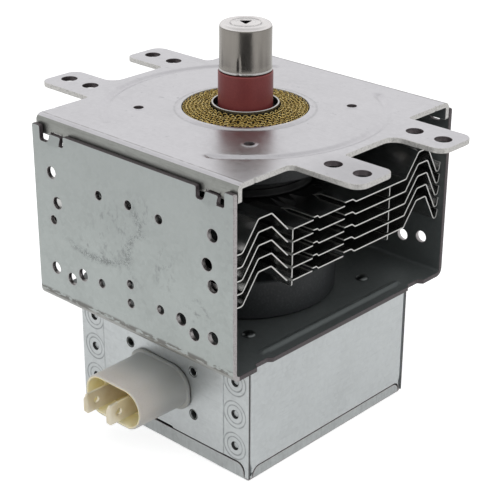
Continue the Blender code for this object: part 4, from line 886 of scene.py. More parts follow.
def groove(x, y):
    """How far the plate is pressed down at a point by its two curved grooves."""
    across = abs(math.hypot(x, y) - GROOVE_RADIUS) / GROOVE_HALF
    angle = abs(math.atan2(y, abs(x)))
    along = max(0.0, (angle - GROOVE_SWEEP) * GROOVE_RADIUS / GROOVE_HALF + 1.0)
    return GROOVE_DEPTH * (1 - eased(math.hypot(across, along) / 1.25))


def mounting_plate():
    top = PLATE_TOP
    face = PLATE_FACE
    fold = Fold([(-face, top - FLANGE_DROP, 0), (-face, top, PLATE_BEND), (face, top, PLATE_BEND),
                 (face, top - FLANGE_DROP, 0)])
    half = fold.length / 2
    arch = half - (FLANGE_DROP - WALL_TOP_DROP - CRIMP_TOP_DROP + GAP)
    flange = [
        (YOKE_END, half, 0.0006), (TONGUE_OUTER + GAP, half, 0.0002),
        (TONGUE_OUTER + GAP, arch, 0.0006), (TONGUE_INNER - GAP, arch, 0.0006),
        (TONGUE_INNER - GAP, half, 0.0002),
    ]
    right = plate_end()
    back = flange + [(-x, y, r) for x, y, r in reversed(flange)]
    corners = right + back + [(-x, -y, r) for x, y, r in right] + [(-x, -y, r) for x, y, r in back]
    outline = filleted(corners)

    holes = [circle((0, 0), GASKET_HOLE, 96)]
    extra = []
    for sign_x in (-1, 1):
        for sign_y in (-1, 1):
            for reach in (0.0479, 0.0576):
                centre = (sign_x * reach, sign_y * EAR_HOLE_SIDE)
                holes.append(circle(centre, EAR_HOLE_RADIUS, 36))
            centre = (sign_x * PILOT, sign_y * PILOT)
            holes.append(circle(centre, PILOT_RADIUS, 24))
            for radius in (PILOT_RADIUS + 0.0004, PILOT_RADIUS + 0.0008, PILOT_RADIUS + 0.0013):
                extra += circle(centre, radius, 24)
        for i in range(80):
            angle = (i / 79 * 2 - 1) * (GROOVE_SWEEP + math.radians(3.5))
            for across in (-2.2, -1.7, -1.3, -0.9, -0.45, 0, 0.45, 0.9, 1.3, 1.7, 2.2):
                radius = GROOVE_RADIUS + across / 1000
                extra.append((sign_x * radius * math.cos(angle), radius * math.sin(angle)))
    for ring in (0.4, 0.8, 1.2, 1.6, 2.0, 2.4, 2.8):
        extra += circle((0, 0), GASKET_HOLE + ring / 1000, 96)

    def place(x, u, depth):
        point, left = fold.at(u)
        lift = -groove(x, u)
        radius = math.hypot(x, u)
        lift += RIM_HEIGHT * (1 - eased((radius - GASKET_HOLE - 0.0007) / (RIM_WIDTH - 0.0009)))
        near = math.hypot(abs(x) - PILOT, abs(u) - PILOT) - PILOT_RADIUS
        lift += 0.00022 * (1 - eased(near / 0.0013))
        point = point + left * (lift - depth)
        return Vector((x, point.x, point.y))

    rows = fold.rows(0.0035)
    columns = spread(-EAR_REACH, EAR_REACH, 0.0035)
    bm = sheet_body(outline, place, PLATE_SHEET, rows, columns, holes, extra, step=0.003)
    # Painted shade: the fold and flange take the darker flange zinc.
    for made, middle in faces_at(bm):
        folded = middle.z < top - PLATE_BEND * 0.30 and abs(middle.y) > face - PLATE_BEND
        in_ear = abs(abs(middle.y) - EAR_HOLE_SIDE) < 0.0026 and 0.045 < abs(middle.x) < 0.0604
        off_pilot = math.hypot(abs(middle.x) - PILOT, abs(middle.y) - PILOT)
        if made.material_index == 0 and folded:
            made.material_index = 3
        # Painted shade: the cut edges of the ear and pilot holes take the near-black cut edge.
        elif made.material_index == 2 and (in_ear or off_pilot < PILOT_RADIUS + 0.0002):
            made.material_index = 4
    looks = "plate inside plate_cut flange dark_cut"
    piece("plate_pressing", bm, looks, ["mounting_plate"])


# ---- yoke

LARGE_HOLE = 0.00185
SMALL_HOLE = 0.00135


def wall_holes():
    """The holes of one wall as (x, drop below the plate's top, radius)."""
    holes = [(0, 0.0166, SMALL_HOLE), (0, 0.0407, SMALL_HOLE), (0, 0.0466, SMALL_HOLE)]
    for sign in (-1, 1):
        holes += [
            (sign * 0.0121, 0.0172, SMALL_HOLE), (sign * 0.0121, 0.0444, SMALL_HOLE),
            (sign * 0.0323, 0.0158, LARGE_HOLE), (sign * 0.0302, 0.0247, LARGE_HOLE),
            (sign * 0.0202, 0.0444, LARGE_HOLE), (sign * 0.0252, 0.0473, LARGE_HOLE),
            (sign * 0.0323, 0.0459, LARGE_HOLE),
        ]
    return holes + [(0.0323, 0.0305, LARGE_HOLE), (-0.0323, 0.0305, SMALL_HOLE)]


def yoke_frame():
    half = YOKE_FACE
    floor = YOKE_UNDERSIDE
    top = WALL_TOP
    fold = Fold([(-half, top, 0), (-half, floor, YOKE_BEND), (half, floor, YOKE_BEND),
                 (half, top, 0)])
    edge = fold.length / 2

    def across(z):
        return edge - (top - z)

    middle_top = PLATE_TOP - WALL_TOP_DROP
    slot = middle_top - 0.0034
    tongue = middle_top - CRIMP_TOP_DROP
    soft = 0.0006
    upper = [(x, across(z), soft) for x, z in (
        (YOKE_END, top), (CRIMP_POST, top), (CRIMP_POST, slot), (TONGUE_OUTER, slot),
        (TONGUE_OUTER, tongue), (TONGUE_INNER, tongue), (TONGUE_INNER, slot), (SLOT_INNER, slot),
        (SLOT_INNER, middle_top),
    )]
    notch = YOKE_END - 0.0016
    setback = YOKE_END - 0.0005
    end = [
        (YOKE_END, -0.0376, 0.0006), (notch, -0.0366, 0.0005), (notch, -0.0318, 0.0006),
        (setback, -0.0306, 0.0006), (setback, 0.0306, 0.0006), (notch, 0.0318, 0.0006),
        (notch, 0.0366, 0.0005), (YOKE_END, 0.0376, 0.0006),
    ]
    back = upper + [(-x, u, r) for x, u, r in reversed(upper)]
    corners = end + back + [(-x, -u, r) for x, u, r in end] + [(-x, -u, r) for x, u, r in back]
    outline = filleted(corners, math.radians(20))

    holes = [circle((0, 0), CENTRE_BORE, 48)]
    for x, drop, radius in wall_holes():
        u = across(PLATE_TOP - drop)
        holes.append(circle((x, u), radius, 32))
        holes.append(circle((x, -u), radius, 32))
    rib_x = YOKE_END - 0.0046
    rib_half = 0.0315
    rib_width = 0.0013

    def place(x, u, depth):
        point, left = fold.at(u)
        lift = 0.0
        side = abs(abs(x) - rib_x) / rib_width
        if side < 1.4 and abs(u) < rib_half + 0.002:
            past = max(0.0, (abs(u) - rib_half) / rib_width + 1.0)
            reach = math.hypot(side, past)
            lift = 0.0008 * (1 - eased(reach / 1.3))
        height = top - (edge - abs(u))
        if TONGUE_INNER - 0.0002 < abs(x) < TONGUE_OUTER + 0.0002 and height > slot - 0.0012:
            lift += 0.0010 * eased((height - slot + 0.0012) / (tongue - slot + 0.0012))
        point = point + left * (lift + depth)
        return Vector((x, point.x, point.y))

    rows = fold.rows(0.004)
    columns = spread(-0.033, 0.033, 0.0045)
    for sign in (-1, 1):
        columns += [sign * (rib_x + step / 1000)
                    for step in (-1.8, -1.4, -1.0, -0.6, -0.3, 0, 0.3, 0.6, 1.0, 1.4, 1.8)]
    extra = []
    for sign_x, sign_u in CORNERS:
        for x in spread(TONGUE_INNER + 0.0006, TONGUE_OUTER - 0.0006, 0.0009):
            for z in spread(slot - 0.0015, tongue - 0.0004, 0.0005):
                extra.append((sign_x * x, sign_u * across(z)))
        for k in range(9):
            u = rib_half - 0.0032 + k * 0.0005
            extra += [(sign_x * (rib_x + side / 1000), sign_u * u)
                      for side in (-1.4, -0.8, -0.4, 0, 0.4, 0.8, 1.4)]
    bm = sheet_body(outline, place, YOKE_SHEET, rows, sorted(columns), holes, extra, step=0.003)
    # Painted shade: the cut edges under the plate, and the end edges of the floor and back wall,
    # take the near-black cut edge.
    for made, middle in faces_at(bm):
        under_plate = middle.z > slot - 0.0006 and abs(middle.x) < YOKE_END - 0.0004
        end_edge = abs(middle.x) > YOKE_END - 0.0030 and middle.y > -half + 0.0024
        if made.material_index == 2 and (under_plate or end_edge):
            made.material_index = 3
    piece("yoke_pressing", bm, "wall inside cut dark_cut", ["yoke_frame"])


# ---- magnets


def magnet(name, node):
    bottom = low(node)[2]
    top = high(node)[2]
    radius = high(node)[0]
    chamfer = 0.0005
    profile = rounded_profile([
        (CENTRE_BORE, bottom, 0.0002), (radius - chamfer, bottom, 0.0003),
        (radius, bottom + chamfer, 0.0003), (radius, top - chamfer, 0.0003),
        (radius - chamfer, top, 0.0003), (CENTRE_BORE, top, 0.0002),
    ])
    piece(name, lathe(profile, 128), "ferrite", [node])


# ---- fins

FIN_SHEET = 0.0004
FIN_EDGE = 0.00007
FIN_PITCH = 0.00385
FIN_RISE = 0.0008
LOUVRES = ((-0.0132, -0.0107, 0.0008, -0.0114), (0.0003, 0.0054, 0.0011, 0.0036))
LOUVRE_LENGTH = 0.0120
LOUVRE_RAMP = 0.0030
LUG_LENGTH = 0.0075
LUG_WINDOW = (-0.0238, -0.0215)
FIN_PAINTED_SHADE_REACH = 0.0245


def fin_fold():
    """A fin's top line from the front wall to the back one, its flat middle at height 0."""
    peak = 0.0073
    corners = [
        (-PLATE_FACE + 0.0004, 0.0010, 0), (-PLATE_FACE + 0.0004, -0.0004, 0.0004),
        (-0.0417, -0.0006, 0.0010),
        (-0.0356, peak, 0.0012), (-0.0302, peak, 0.0012), (-0.0238, 0.0008, 0.0008),
        (-0.0222, 0, 0.0008), (0.0284, 0, 0.0003), (0.0290, 0.0009, 0.0006),
        (0.0340, peak - 0.0003, 0.0012), (0.0388, peak - 0.0003, 0.0012),
        (0.0437, -0.0018, 0.0007), (0.0447, -0.0019, 0.0005), (PLATE_FACE - 0.0001, 0.0006, 0),
    ]
    flat = Fold(corners)
    middle = 0.0
    for row in spread(-flat.length / 2, flat.length / 2, 0.00002):
        point, _ = flat.at(row)
        if point.x >= 0:
            middle = row + flat.length / 2
            break
    return Fold(corners, middle)


FIN_FOLD = fin_fold()


def cooling_fin(index):
    node = f"cooling_fin_{index}"
    level = ANODE_MIDDLE + FIN_RISE + (3 - index) * FIN_PITCH
    end = high(node)[0]
    first = FIN_FOLD.start
    last = first + FIN_FOLD.length
    slit = 0.00006
    near = end - LOUVRE_LENGTH
    shut = end - LUG_LENGTH
    cuts = [(shut, *LUG_WINDOW)]
    cuts += [(near, start - slit, start + slit) for start, _, _, _ in LOUVRES]
    right = [(end, first)]
    for reach, start, stop in cuts:
        right += [(end, start), (reach, start), (reach, stop), (end, stop)]
    right.append((end, last))
    outline = right + [(-x, u) for x, u in reversed(right)]
    bore = ANODE_RADIUS + GAP

    def place(x, u, depth):
        point, left = FIN_FOLD.at(u)
        lift = 0.0
        for start, stop, rise, crest in LOUVRES:
            if start <= u <= stop and abs(x) > near:
                if u < crest:
                    shape = 1.0 - 0.05 * (u - start) / (crest - start)
                else:
                    shape = 0.95 * (1 - eased((u - crest) / (stop - crest)))
                lift = rise * shape * eased((abs(x) - near) / LOUVRE_RAMP)
        point = point + left * (lift - depth)
        return Vector((x, point.x, level + point.y))

    rows = FIN_FOLD.rows(0.004, math.radians(22))
    for start, stop, _, crest in LOUVRES:
        rows += [start + 0.0002, crest, *spread(crest, stop, 0.0006)[1:]]
    rows = sorted(rows)
    columns = [-end + 0.0006, *spread(-near, near, 0.008), end - 0.0006]
    for sign in (-1, 1):
        columns += [sign * (near + step / 1000)
                    for step in (0.5, 1.0, 1.5, 2.0, 2.5, 3.0, 4.4, 6.4, 8.6)]
    extra = circle((0, 0), bore + 0.0009, 64)
    hole = circle((0, 0), bore, 72)
    bm = sheet_body(outline, place, FIN_SHEET, rows, sorted(columns), [hole], extra,
                    edge=FIN_EDGE, step=0.0030)

    neck = bore + FIN_SHEET
    foot = bore + 0.0016
    under = level - FIN_SHEET
    collar_top = level + 0.0022
    lathe(rounded_profile([
        (bore, under, 0), (foot, under, 0), (foot, level, 0), (neck, level, 0.0006),
        (neck, collar_top, 0.0001), (bore, collar_top, 0.0001),
    ]), 72, bm)
    # Painted shade: the fin near the anode, deep inside the yoke, takes the near-black look.
    for made, middle in faces_at(bm):
        if math.hypot(middle.x, middle.y) < FIN_PAINTED_SHADE_REACH:
            made.material_index = 3
    length = FIN_PITCH - FIN_SHEET - GAP if index < 5 else 0.0016
    for sign in (-1, 1):
        lug(bm, sign, end, LUG_WINDOW[1] - FIN_SHEET, level, length, FIN_SHEET)
        lug(bm, sign, end, 0.0207, level, length, 0.0003)
    piece(f"fin_sheet_{index}", bm, "fin fin fin_edge dark", [node])


def lug(bm, sign, end, side, level, length, sheet):
    """A lanced tab bent down from the fin that holds it off the next one."""
    outer = sign * (end - 0.00005)
    inner = sign * (end - LUG_LENGTH)
    top = level - 0.0003
    bottom = level - FIN_SHEET - length
    corners = [(inner, top, 0), (outer, top, 0), (outer, bottom, 0.0006), (inner, bottom, 0.0012)]

    def place(x, u, depth):
        return Vector((x, side + depth, u))

    sheet_body(filleted(corners), place, sheet, [level - 0.001], [0.0], edge=FIN_EDGE,
               step=0.004, bm=bm)


# ---- antenna


def seal_cup():
    node = "upper_seal_cup"
    rim = high(node)[2]
    flange = low(node)[2] + 0.0005
    sheet = 0.0005
    ledge = rim - 0.0026
    outer = 0.0099
    bore = outer - sheet
    well = 0.0062
    profile = rounded_profile([
        (bore, flange - sheet, 0), (ANODE_RADIUS, flange - sheet, 0.0001),
        (ANODE_RADIUS, flange, 0.0001), (outer, flange, 0.0004), (outer, rim, 0.0002),
        (bore, rim, 0.0002), (bore, ledge, 0.0005), (well, ledge, 0.0001),
        (well, ledge - sheet, 0.0001), (bore, ledge - sheet, 0),
    ])
    bm = lathe(profile, 96)
    # Painted highlight: the faces on top of the rim take the lighter rim steel. Painted shade: the
    # flange and the bore take the near-black look.
    for made, middle in faces_at(bm):
        reach = math.hypot(middle.x, middle.y)
        if middle.z > rim - 0.0003:
            made.material_index = 1
        elif reach > outer + 0.0006 or reach < bore + 0.0002:
            made.material_index = 2
    piece("seal_collar", bm, "steel rim dark", [node])


def insulator():
    node = "antenna_ceramic"
    bottom = low(node)[2]
    top = high(node)[2]
    radius = high(node)[0]
    inner = radius - 0.0023
    profile = rounded_profile([
        (inner, bottom, 0.0002), (radius, bottom, 0.0004), (radius, top, 0.00035),
        (inner, top, 0.0003),
    ])
    piece("antenna_insulator", lathe(profile, 96), "pink", [node])


def antenna_cap():
    node = "antenna_cap"
    bottom = low(node)[2]
    top = high(node)[2]
    lip = high(node)[0]
    radius = 0.0076
    sheet = 0.0004
    crown = 0.0012
    bore = radius - sheet
    outside = [(lip - 0.00012, bottom), (lip, bottom + 0.00012), (lip, bottom + 0.0003)]
    outside += [(radius + 0.00012, bottom + 0.0007), (radius, bottom + 0.0012)]
    outside += spread_line((radius, bottom + 0.0012), (radius, top - crown), 10)
    outside += arc((radius - crown, top - crown), crown, 0, math.pi / 2, 9)
    groove = CAP_RING
    dip = 0.00022
    face = [(groove + 0.0004, top), (groove + 0.0002, top - dip * 0.5), (groove, top - dip)]
    face += [(groove - 0.0002, top - dip * 0.5), (groove - 0.0004, top)]
    hub = 0.0028
    inside_line = [(hub, top), (hub, top - sheet), (radius - crown, top - sheet)]
    inside_line += arc((radius - crown, top - crown), crown - sheet, math.pi / 2, 0, 5)[1:]
    inside_line += [(bore, bottom + 0.0010), (bore + 0.0003, bottom)]

    def dented(x, y, z):
        """Three narrow crimps round the foot of the cap."""
        angle = math.atan2(y, x)
        distance = math.hypot(x, y)
        if distance < radius * 0.9:
            return (x, y, z)
        for turn in (math.radians(-61.5), math.radians(58.5), math.radians(178.5)):
            off = (angle - turn + math.pi) % (2 * math.pi) - math.pi
            sideways = abs(off) * radius / 0.00062
            rise = (z - bottom) / 0.0064
            if sideways < 1 and rise < 1:
                push = 0.00034 * (1 - eased(sideways)) * (1 - eased(rise))
                scale = (distance - push) / distance
                return (x * scale, y * scale, z)
        return (x, y, z)

    bm = lathe(outside + face + inside_line, 192, shape=dented)
    # Painted light and shade: the crown takes the pale crown steel, the inside the near-black look,
    # and the flared lip at the foot the painted highlight.
    for made, middle in faces_at(bm):
        reach = math.hypot(middle.x, middle.y)
        bend = math.hypot(max(reach - radius + crown, 0.0), middle.z - top + crown)
        if middle.z > top - crown * 0.7 and bend > crown - sheet * 0.7:
            made.material_index = 3
        elif reach < bore + 0.00005:
            made.material_index = 1
        elif middle.z < bottom + 0.0006:
            made.material_index = 4

    front = Vector((math.sin(CAMERA_YAW), -math.cos(CAMERA_YAW)))
    side = Vector((-front.y, front.x))
    tips = [front * 0.0023, side * 0.0019 - front * 0.0015, side * -0.0019 - front * 0.0015]
    hole = filleted([(tip.x, tip.y, 0.0003) for tip in tips])

    def place(x, u, depth):
        return Vector((x, u, top - depth))

    sheet_body(circle((0, 0), hub, 96), place, sheet, [0.0], [0.0], [hole], edge=0.00006,
               step=0.001, bm=bm)
    # Painted light on the hub's top, painted shade on its underside.
    for made, middle in faces_at(bm):
        if math.hypot(middle.x, middle.y) < hub:
            made.material_index = 3 if middle.z > top - 0.00002 else 1
    piece("antenna_cap_shell", bm, "cap dark dark cap_top rim", [node])


def spread_line(start, end, count):
    """Points between start and end, both left out."""
    points = []
    for i in range(1, count):
        t = i / count
        points.append((start[0] + (end[0] - start[0]) * t, start[1] + (end[1] - start[1]) * t))
    return points


def gasket():
    """Knitted ring: rounds of wire loops that catch each other, over a dark core that stands in for
    the shade between and under the loops.
    """
    node = "rf_gasket"
    outer = high(node)[0]
    inner = 0.0103
    bottom = low(node)[2]
    bm = bmesh.new()
    core = [(outer - 0.0002, bottom), (inner, bottom), (inner, PLATE_TOP + 0.0001)]
    core += [(outer - 0.0007, PLATE_TOP - 0.0009)]
    lathe(core, 96, bm, material_index=1)
    random.seed(7)
    rounds = 7
    radius = 0.00015
    gap = (outer - inner - 0.0012) / (rounds - 1)
    for k in range(rounds):
        middle = inner + 0.0006 + gap * k
        stitches = round(2 * math.pi * middle / 0.00215)
        shift = random.random() * 2 * math.pi
        steps = 14
        points = []
        for i in range(stitches * steps):
            t = 2 * math.pi * i / steps
            along = (t + 1.05 * math.sin(2 * t)) / stitches + shift
            sway = 0.92 + 0.14 * math.sin(5.3 * along + 1.7 * k)
            out = middle + gap * 0.64 * math.cos(t) * sway
            out += 0.00008 * math.sin(23 * along + k)
            out = min(max(out, inner + radius), outer - radius)
            share = (out - inner) / (outer - inner)
            crown = PLATE_TOP + 0.00010 + 0.0008 * (1 - share) ** 1.5
            height = crown + 0.00020 * math.cos(2 * t) + 0.00005 * math.sin(17 * along + 2.3 * k)
            points.append((out * math.cos(along), out * math.sin(along), height))
        wire(points, radius, 5, bm, closed=True)
    piece("gasket_knit", bm, "brass mesh", [node], angle=80, weighted=False)


# ---- filter box

CLINCHES = [(sign * CLINCH_REACH, CLINCH_TOP - row * CLINCH_PITCH)
            for row in range(3) for sign in (-1, 1)]


def connector_hole():
    shape = obround(CONNECTOR_LENGTH + GAP, CONNECTOR_RISE + GAP)
    return [(x, CONNECTOR_HEIGHT + z) for x, z in shape]


def box_panel(name, node, direction):
    """An end panel of the box, notched over the base's skirt; the front one holds the socket."""
    bottom = BOX_SHEET + GAP
    inset = BOX_END - SKIRT_INSET + GAP
    over = SKIRT_FRONT + GAP
    corners = [
        (-BOX_END, bottom, 0), (-BOX_END, BOX_TOP, 0.0004), (BOX_END, BOX_TOP, 0.0004),
        (BOX_END, bottom, 0), (inset, bottom, 0), (inset, over, SKIRT_CORNER),
    ]
    holes = []
    if direction < 0:
        step = 0.0045
        raised = SKIRT_FRONT + 2.6 * GAP
        corners += [(step, over, 0.0002), (step - 0.0004, raised, 0.0002),
                    (-inset, raised, SKIRT_CORNER)]
        holes = [connector_hole()]
        holes += [circle(centre, EYELET_RADIUS + 0.0001, 32) for centre in EYELETS]
    else:
        corners.append((-inset, over, SKIRT_CORNER))
    corners.append((-inset, bottom, 0))
    outline = filleted(corners)
    extra = []
    for centre in CLINCHES:
        for radius in (0.35, 0.7, 0.95, 1.15, 1.4, 2.3, 2.55, 2.8, 3.05, 3.3, 3.9, 4.15, 4.4,
                       4.65):
            extra += circle(centre, radius / 1000, 32)
        extra.append(centre)
    for sign in (-1, 1):
        for z in spread(0.0010, BOX_TOP - 0.0004, 0.002):
            for step in (-0.5, -0.25, 0, 0.25, 0.5):
                extra.append((sign * (JOGGLE + step / 1000), z))

    def place(x, u, depth):
        sink = 0.00016 * eased((abs(x) - JOGGLE + 0.0004) / 0.0008)
        for cx, cz in CLINCHES:
            near = math.hypot(x - cx, u - cz)
            if near < 0.005:
                sink += 0.00007 * (1 - eased((near - 0.0041) / 0.0004))
                sink += 0.00010 * (1 - eased((near - 0.0026) / 0.0004))
                sink += 0.00085 * (1 - eased((near - 0.00075) / 0.0005))
                sink -= 0.00012 * math.exp(-((near - 0.0017) / 0.0004) ** 2)
        return Vector((x, direction * (PANEL_FACE - sink - depth), u))

    rows = spread(bottom, BOX_TOP, 0.004)
    columns = spread(-BOX_END, BOX_END, 0.004)
    bm = sheet_body(outline, place, BOX_SHEET, rows, columns, holes, extra)
    # Painted shade: the faces inside each clinch dimple take the near-black look, all but a small
    # spot of bare zinc up and to the right that reads as its highlight.
    for made, middle in faces_at(bm):
        for cx, cz in CLINCHES:
            near = math.hypot(middle.x - cx, middle.z - cz)
            glint = math.hypot(middle.x - cx - 0.0006, middle.z - cz - 0.0003)
            if made.material_index == 0 and near < 0.00145 and glint > 0.00042:
                made.material_index = 3
    piece(name, bm, "box box panel_cut dark", [node])


def box_body():
    bm = bmesh.new()
    bottom = BOX_SHEET + GAP
    for sign in (-1, 1):
        fold = Fold([(BOX_END - 0.0092, -BODY_FACE, 0), (BOX_END, -BODY_FACE, 0.0010),
                     (BOX_END, BODY_FACE, 0.0010), (BOX_END - 0.0092, BODY_FACE, 0)])
        edge = fold.length / 2
        top = BOX_TOP - BOX_SHEET - 0.0001
        rise = SKIRT_SIDE + GAP
        inset = PANEL_FACE - SKIRT_INSET + GAP
        corners = [
            (bottom, -edge, 0), (bottom, -inset, 0), (rise, -inset, SKIRT_CORNER),
            (rise, inset, SKIRT_CORNER), (bottom, inset, 0), (bottom, edge, 0),
            (top, edge, 0.0004), (top, -edge, 0.0004),
        ]

        def place(z, u, depth, sign=sign, fold=fold):
            point, left = fold.at(u)
            point = point + left * depth
            return Vector((sign * point.x, point.y, z))

        rows = fold.rows(0.005)
        sheet_body(filleted(corners), place, BOX_SHEET, rows, spread(bottom, top, 0.005), bm=bm)

    soft = 0.0008
    ceiling = filleted([(-BOX_END, -BODY_FACE, soft), (BOX_END, -BODY_FACE, soft),
                        (BOX_END, BODY_FACE, soft), (-BOX_END, BODY_FACE, soft)])

    def ceiling_place(x, u, depth):
        return Vector((x, u, BOX_TOP - depth))

    holes = [circle((0, 0), CENTRE_BORE, 48)]
    holes += [circle((x * 0.0255, y * 0.0255), 0.0016, 20) for x, y in CORNERS]
    sheet_body(ceiling, ceiling_place, BOX_SHEET, [0.0], [0.0], holes, bm=bm, step=0.01)
    piece("box_shell", bm, "box box cut", ["filter_box_body"])


def wavy(along, seed):
    """Small unevenness of a hand-dressed bend, between 0 and 1."""
    value = math.sin(along * 410 + seed) + 0.7 * math.sin(along * 930 + 2.1 * seed)
    value += 0.5 * math.sin(along * 1730 + 3.3 * seed)
    return 0.5 + value / 4.4


def box_lid():
    bm = bmesh.new()
    face = PANEL_FACE
    fillet = 0.0011
    fold = Fold([(-face, SKIRT_FRONT, 0), (-face, 0, fillet), (face, 0, fillet),
                 (face, SKIRT_FRONT, 0)])
    edge = fold.length / 2
    inset = BOX_END - SKIRT_INSET
    floor = edge - SKIRT_FRONT + fillet
    body = BOX_END - BOX_SHEET
    right = [(inset, edge, SKIRT_CORNER), (inset, floor - 0.0002, 0.0003),
             (body, floor - 0.0004, 0.0002)]
    corners = right + [(x, -u, r) for x, u, r in reversed(right)]
    corners += [(-x, -u, r) for x, u, r in right] + [(-x, u, r) for x, u, r in reversed(right)]

    def place(x, u, depth):
        point, left = fold.at(u)
        bend = math.exp(-((abs(u) - floor - 0.0002) / 0.0009) ** 2)
        point = point + left * (depth + 0.00030 * bend * wavy(x, 1.0 if u < 0 else 2.0))
        return Vector((x, point.x, point.y))

    rows = fold.rows(0.005)
    columns = spread(-body, body, 0.0015)
    sheet_body(filleted(corners), place, BOX_SHEET, rows, columns, bm=bm, step=0.0015)

    for sign in (-1, 1):
        side = Fold([(BOX_END - 0.004, 0, 0), (BOX_END, 0, fillet), (BOX_END, SKIRT_SIDE, 0)])
        reach = PANEL_FACE - SKIRT_INSET
        start = side.start
        stop = start + side.length
        corners = [(-reach, start, 0), (reach, start, 0), (reach, stop, SKIRT_CORNER),
                   (-reach, stop, SKIRT_CORNER)]

        def side_place(y, u, depth, sign=sign, side=side, start=start):
            point, left = side.at(u)
            bend = math.exp(-((u - start - 0.0037) / 0.0010) ** 2)
            point = point + left * (depth + 0.00030 * bend * wavy(y, 3.0 + sign))
            return Vector((sign * point.x, y, point.y))

        rows = side.rows(0.001)
        columns = spread(-reach, reach, 0.0015)
        sheet_body(filleted(corners), side_place, BOX_SHEET, rows, columns, bm=bm, step=0.0015)
    piece("box_base", bm, "skirt box cut", ["filter_box_lid"])


def rivet(index, node):
    lowest = low(node)
    highest = high(node)
    centre = ((lowest[0] + highest[0]) / 2, (lowest[1] + highest[1]) / 2)
    shank = 0.0013
    radius = 0.0020
    bottom = lowest[2]
    top = highest[2]
    base = YOKE_FLOOR + GAP / 3
    dome = []
    for i in range(1, 9):
        angle = math.pi / 2 * i / 9
        dome.append((radius * math.cos(angle), base + (top - base) * math.sin(angle)))
    profile = [(0, bottom), (0.0019, bottom), (radius, bottom + 0.0005), (shank, bottom + 0.0006),
               (shank, base), (radius, base), *dome, (0, top)]
    piece(f"rivet_head_{index}", lathe(profile, 40, centre=centre), "rivet", [node])


# ---- supply connector


def connector():
    mouth = low("capacitor_housing")[1]
    tail = high("capacitor_housing")[1]
    wall = 0.0011
    panel = -PANEL_FACE - GAP

    def ring(grow, y):
        """One section; beyond 0.2 mm, grow swells only its upper left and its lower right."""
        even = min(grow, 0.0002)
        points = []
        for x, z in obround(CONNECTOR_LENGTH + even, CONNECTOR_RISE + even, 18):
            swell = max(0.0, math.cos(2 * (math.atan2(z, x * 0.55) - math.radians(135)))) ** 1.5
            scale = 1 + max(0.0, grow - 0.0002) * swell / math.hypot(x, z)
            points.append((x * scale, y, CONNECTOR_HEIGHT + z * scale))
        return points

    outer = [
        (-0.00045, tail), (-0.0003, tail - 0.0006), (-0.0003, -PANEL_FACE), (0.0012, panel),
        (0.0012, panel - 0.0006), (0.0009, panel - 0.0009), (0.0002, panel - 0.0010),
        (0.0, panel - 0.0013), (-0.0001, panel - 0.008), (-0.00018, mouth + 0.0030),
        (-0.0002, mouth + 0.0004), (-0.00026, mouth + 0.0002), (-0.00042, mouth + 0.00006),
        (-0.0006, mouth),
    ]
    inner = [
        outer[-1], (-wall + 0.00022, mouth), (-wall + 0.00006, mouth + 0.0001),
        (-wall, mouth + 0.0003), (-wall, mouth + 0.0062), (-wall - 0.0001, mouth + 0.0064),
        (-wall - 0.0006, mouth + 0.0066), (-wall - 0.0007, mouth + 0.0070),
        (-wall - 0.0008, mouth + 0.0146), (-wall - 0.0012, mouth + 0.0150),
    ]
    bm = loft([ring(*section) for section in outer], cap_end=False)
    loft([ring(*section) for section in inner], bm, cap_start=False, material_index=1)
    bmesh.ops.remove_doubles(bm, verts=bm.verts, dist=1e-7)
    piece("connector_shell", bm, "ivory socket", ["capacitor_housing"])


def blade(name, node):
    tip = low(node)[1]
    tail = high(node)[1]
    x = low(node)[0]
    half = 0.00315
    sheet = 0.0008
    bore = 0.0009
    base = CONNECTOR_HEIGHT - half
    top = CONNECTOR_HEIGHT + half
    corners = [
        (tip, base + 0.0012, 0.0003), (tip + 0.0011, base, 0.0004), (tail, base, 0.0002),
        (tail, top, 0.0002), (tip + 0.0011, top, 0.0004), (tip, top - 0.0012, 0.0003),
    ]
    centre = (tip + 0.0044, CONNECTOR_HEIGHT)

    def place(y, z, depth):
        thin = 1 - 0.55 * (1 - eased((y - tip) / 0.0012))
        near = math.hypot(y - centre[0], z - centre[1]) - bore
        dip = 0.00008 * (1 - eased(near / 0.0004))
        offset = (depth - sheet / 2) * thin
        offset += dip if depth < sheet / 2 else -dip
        return Vector((x + sheet / 2 + offset, y, z))

    rows = spread(base, top, 0.0008)
    columns = spread(tip, tip + 0.003, 0.0004) + spread(tip + 0.004, tail, 0.003)
    extra = circle(centre, 0.0014, 24)
    hole = circle(centre, bore, 28)
    bm = sheet_body(filleted(corners), place, sheet, rows, columns, [hole], extra, edge=0.00012,
                    step=0.001)
    piece(name, bm, "tin tin tin", [node])


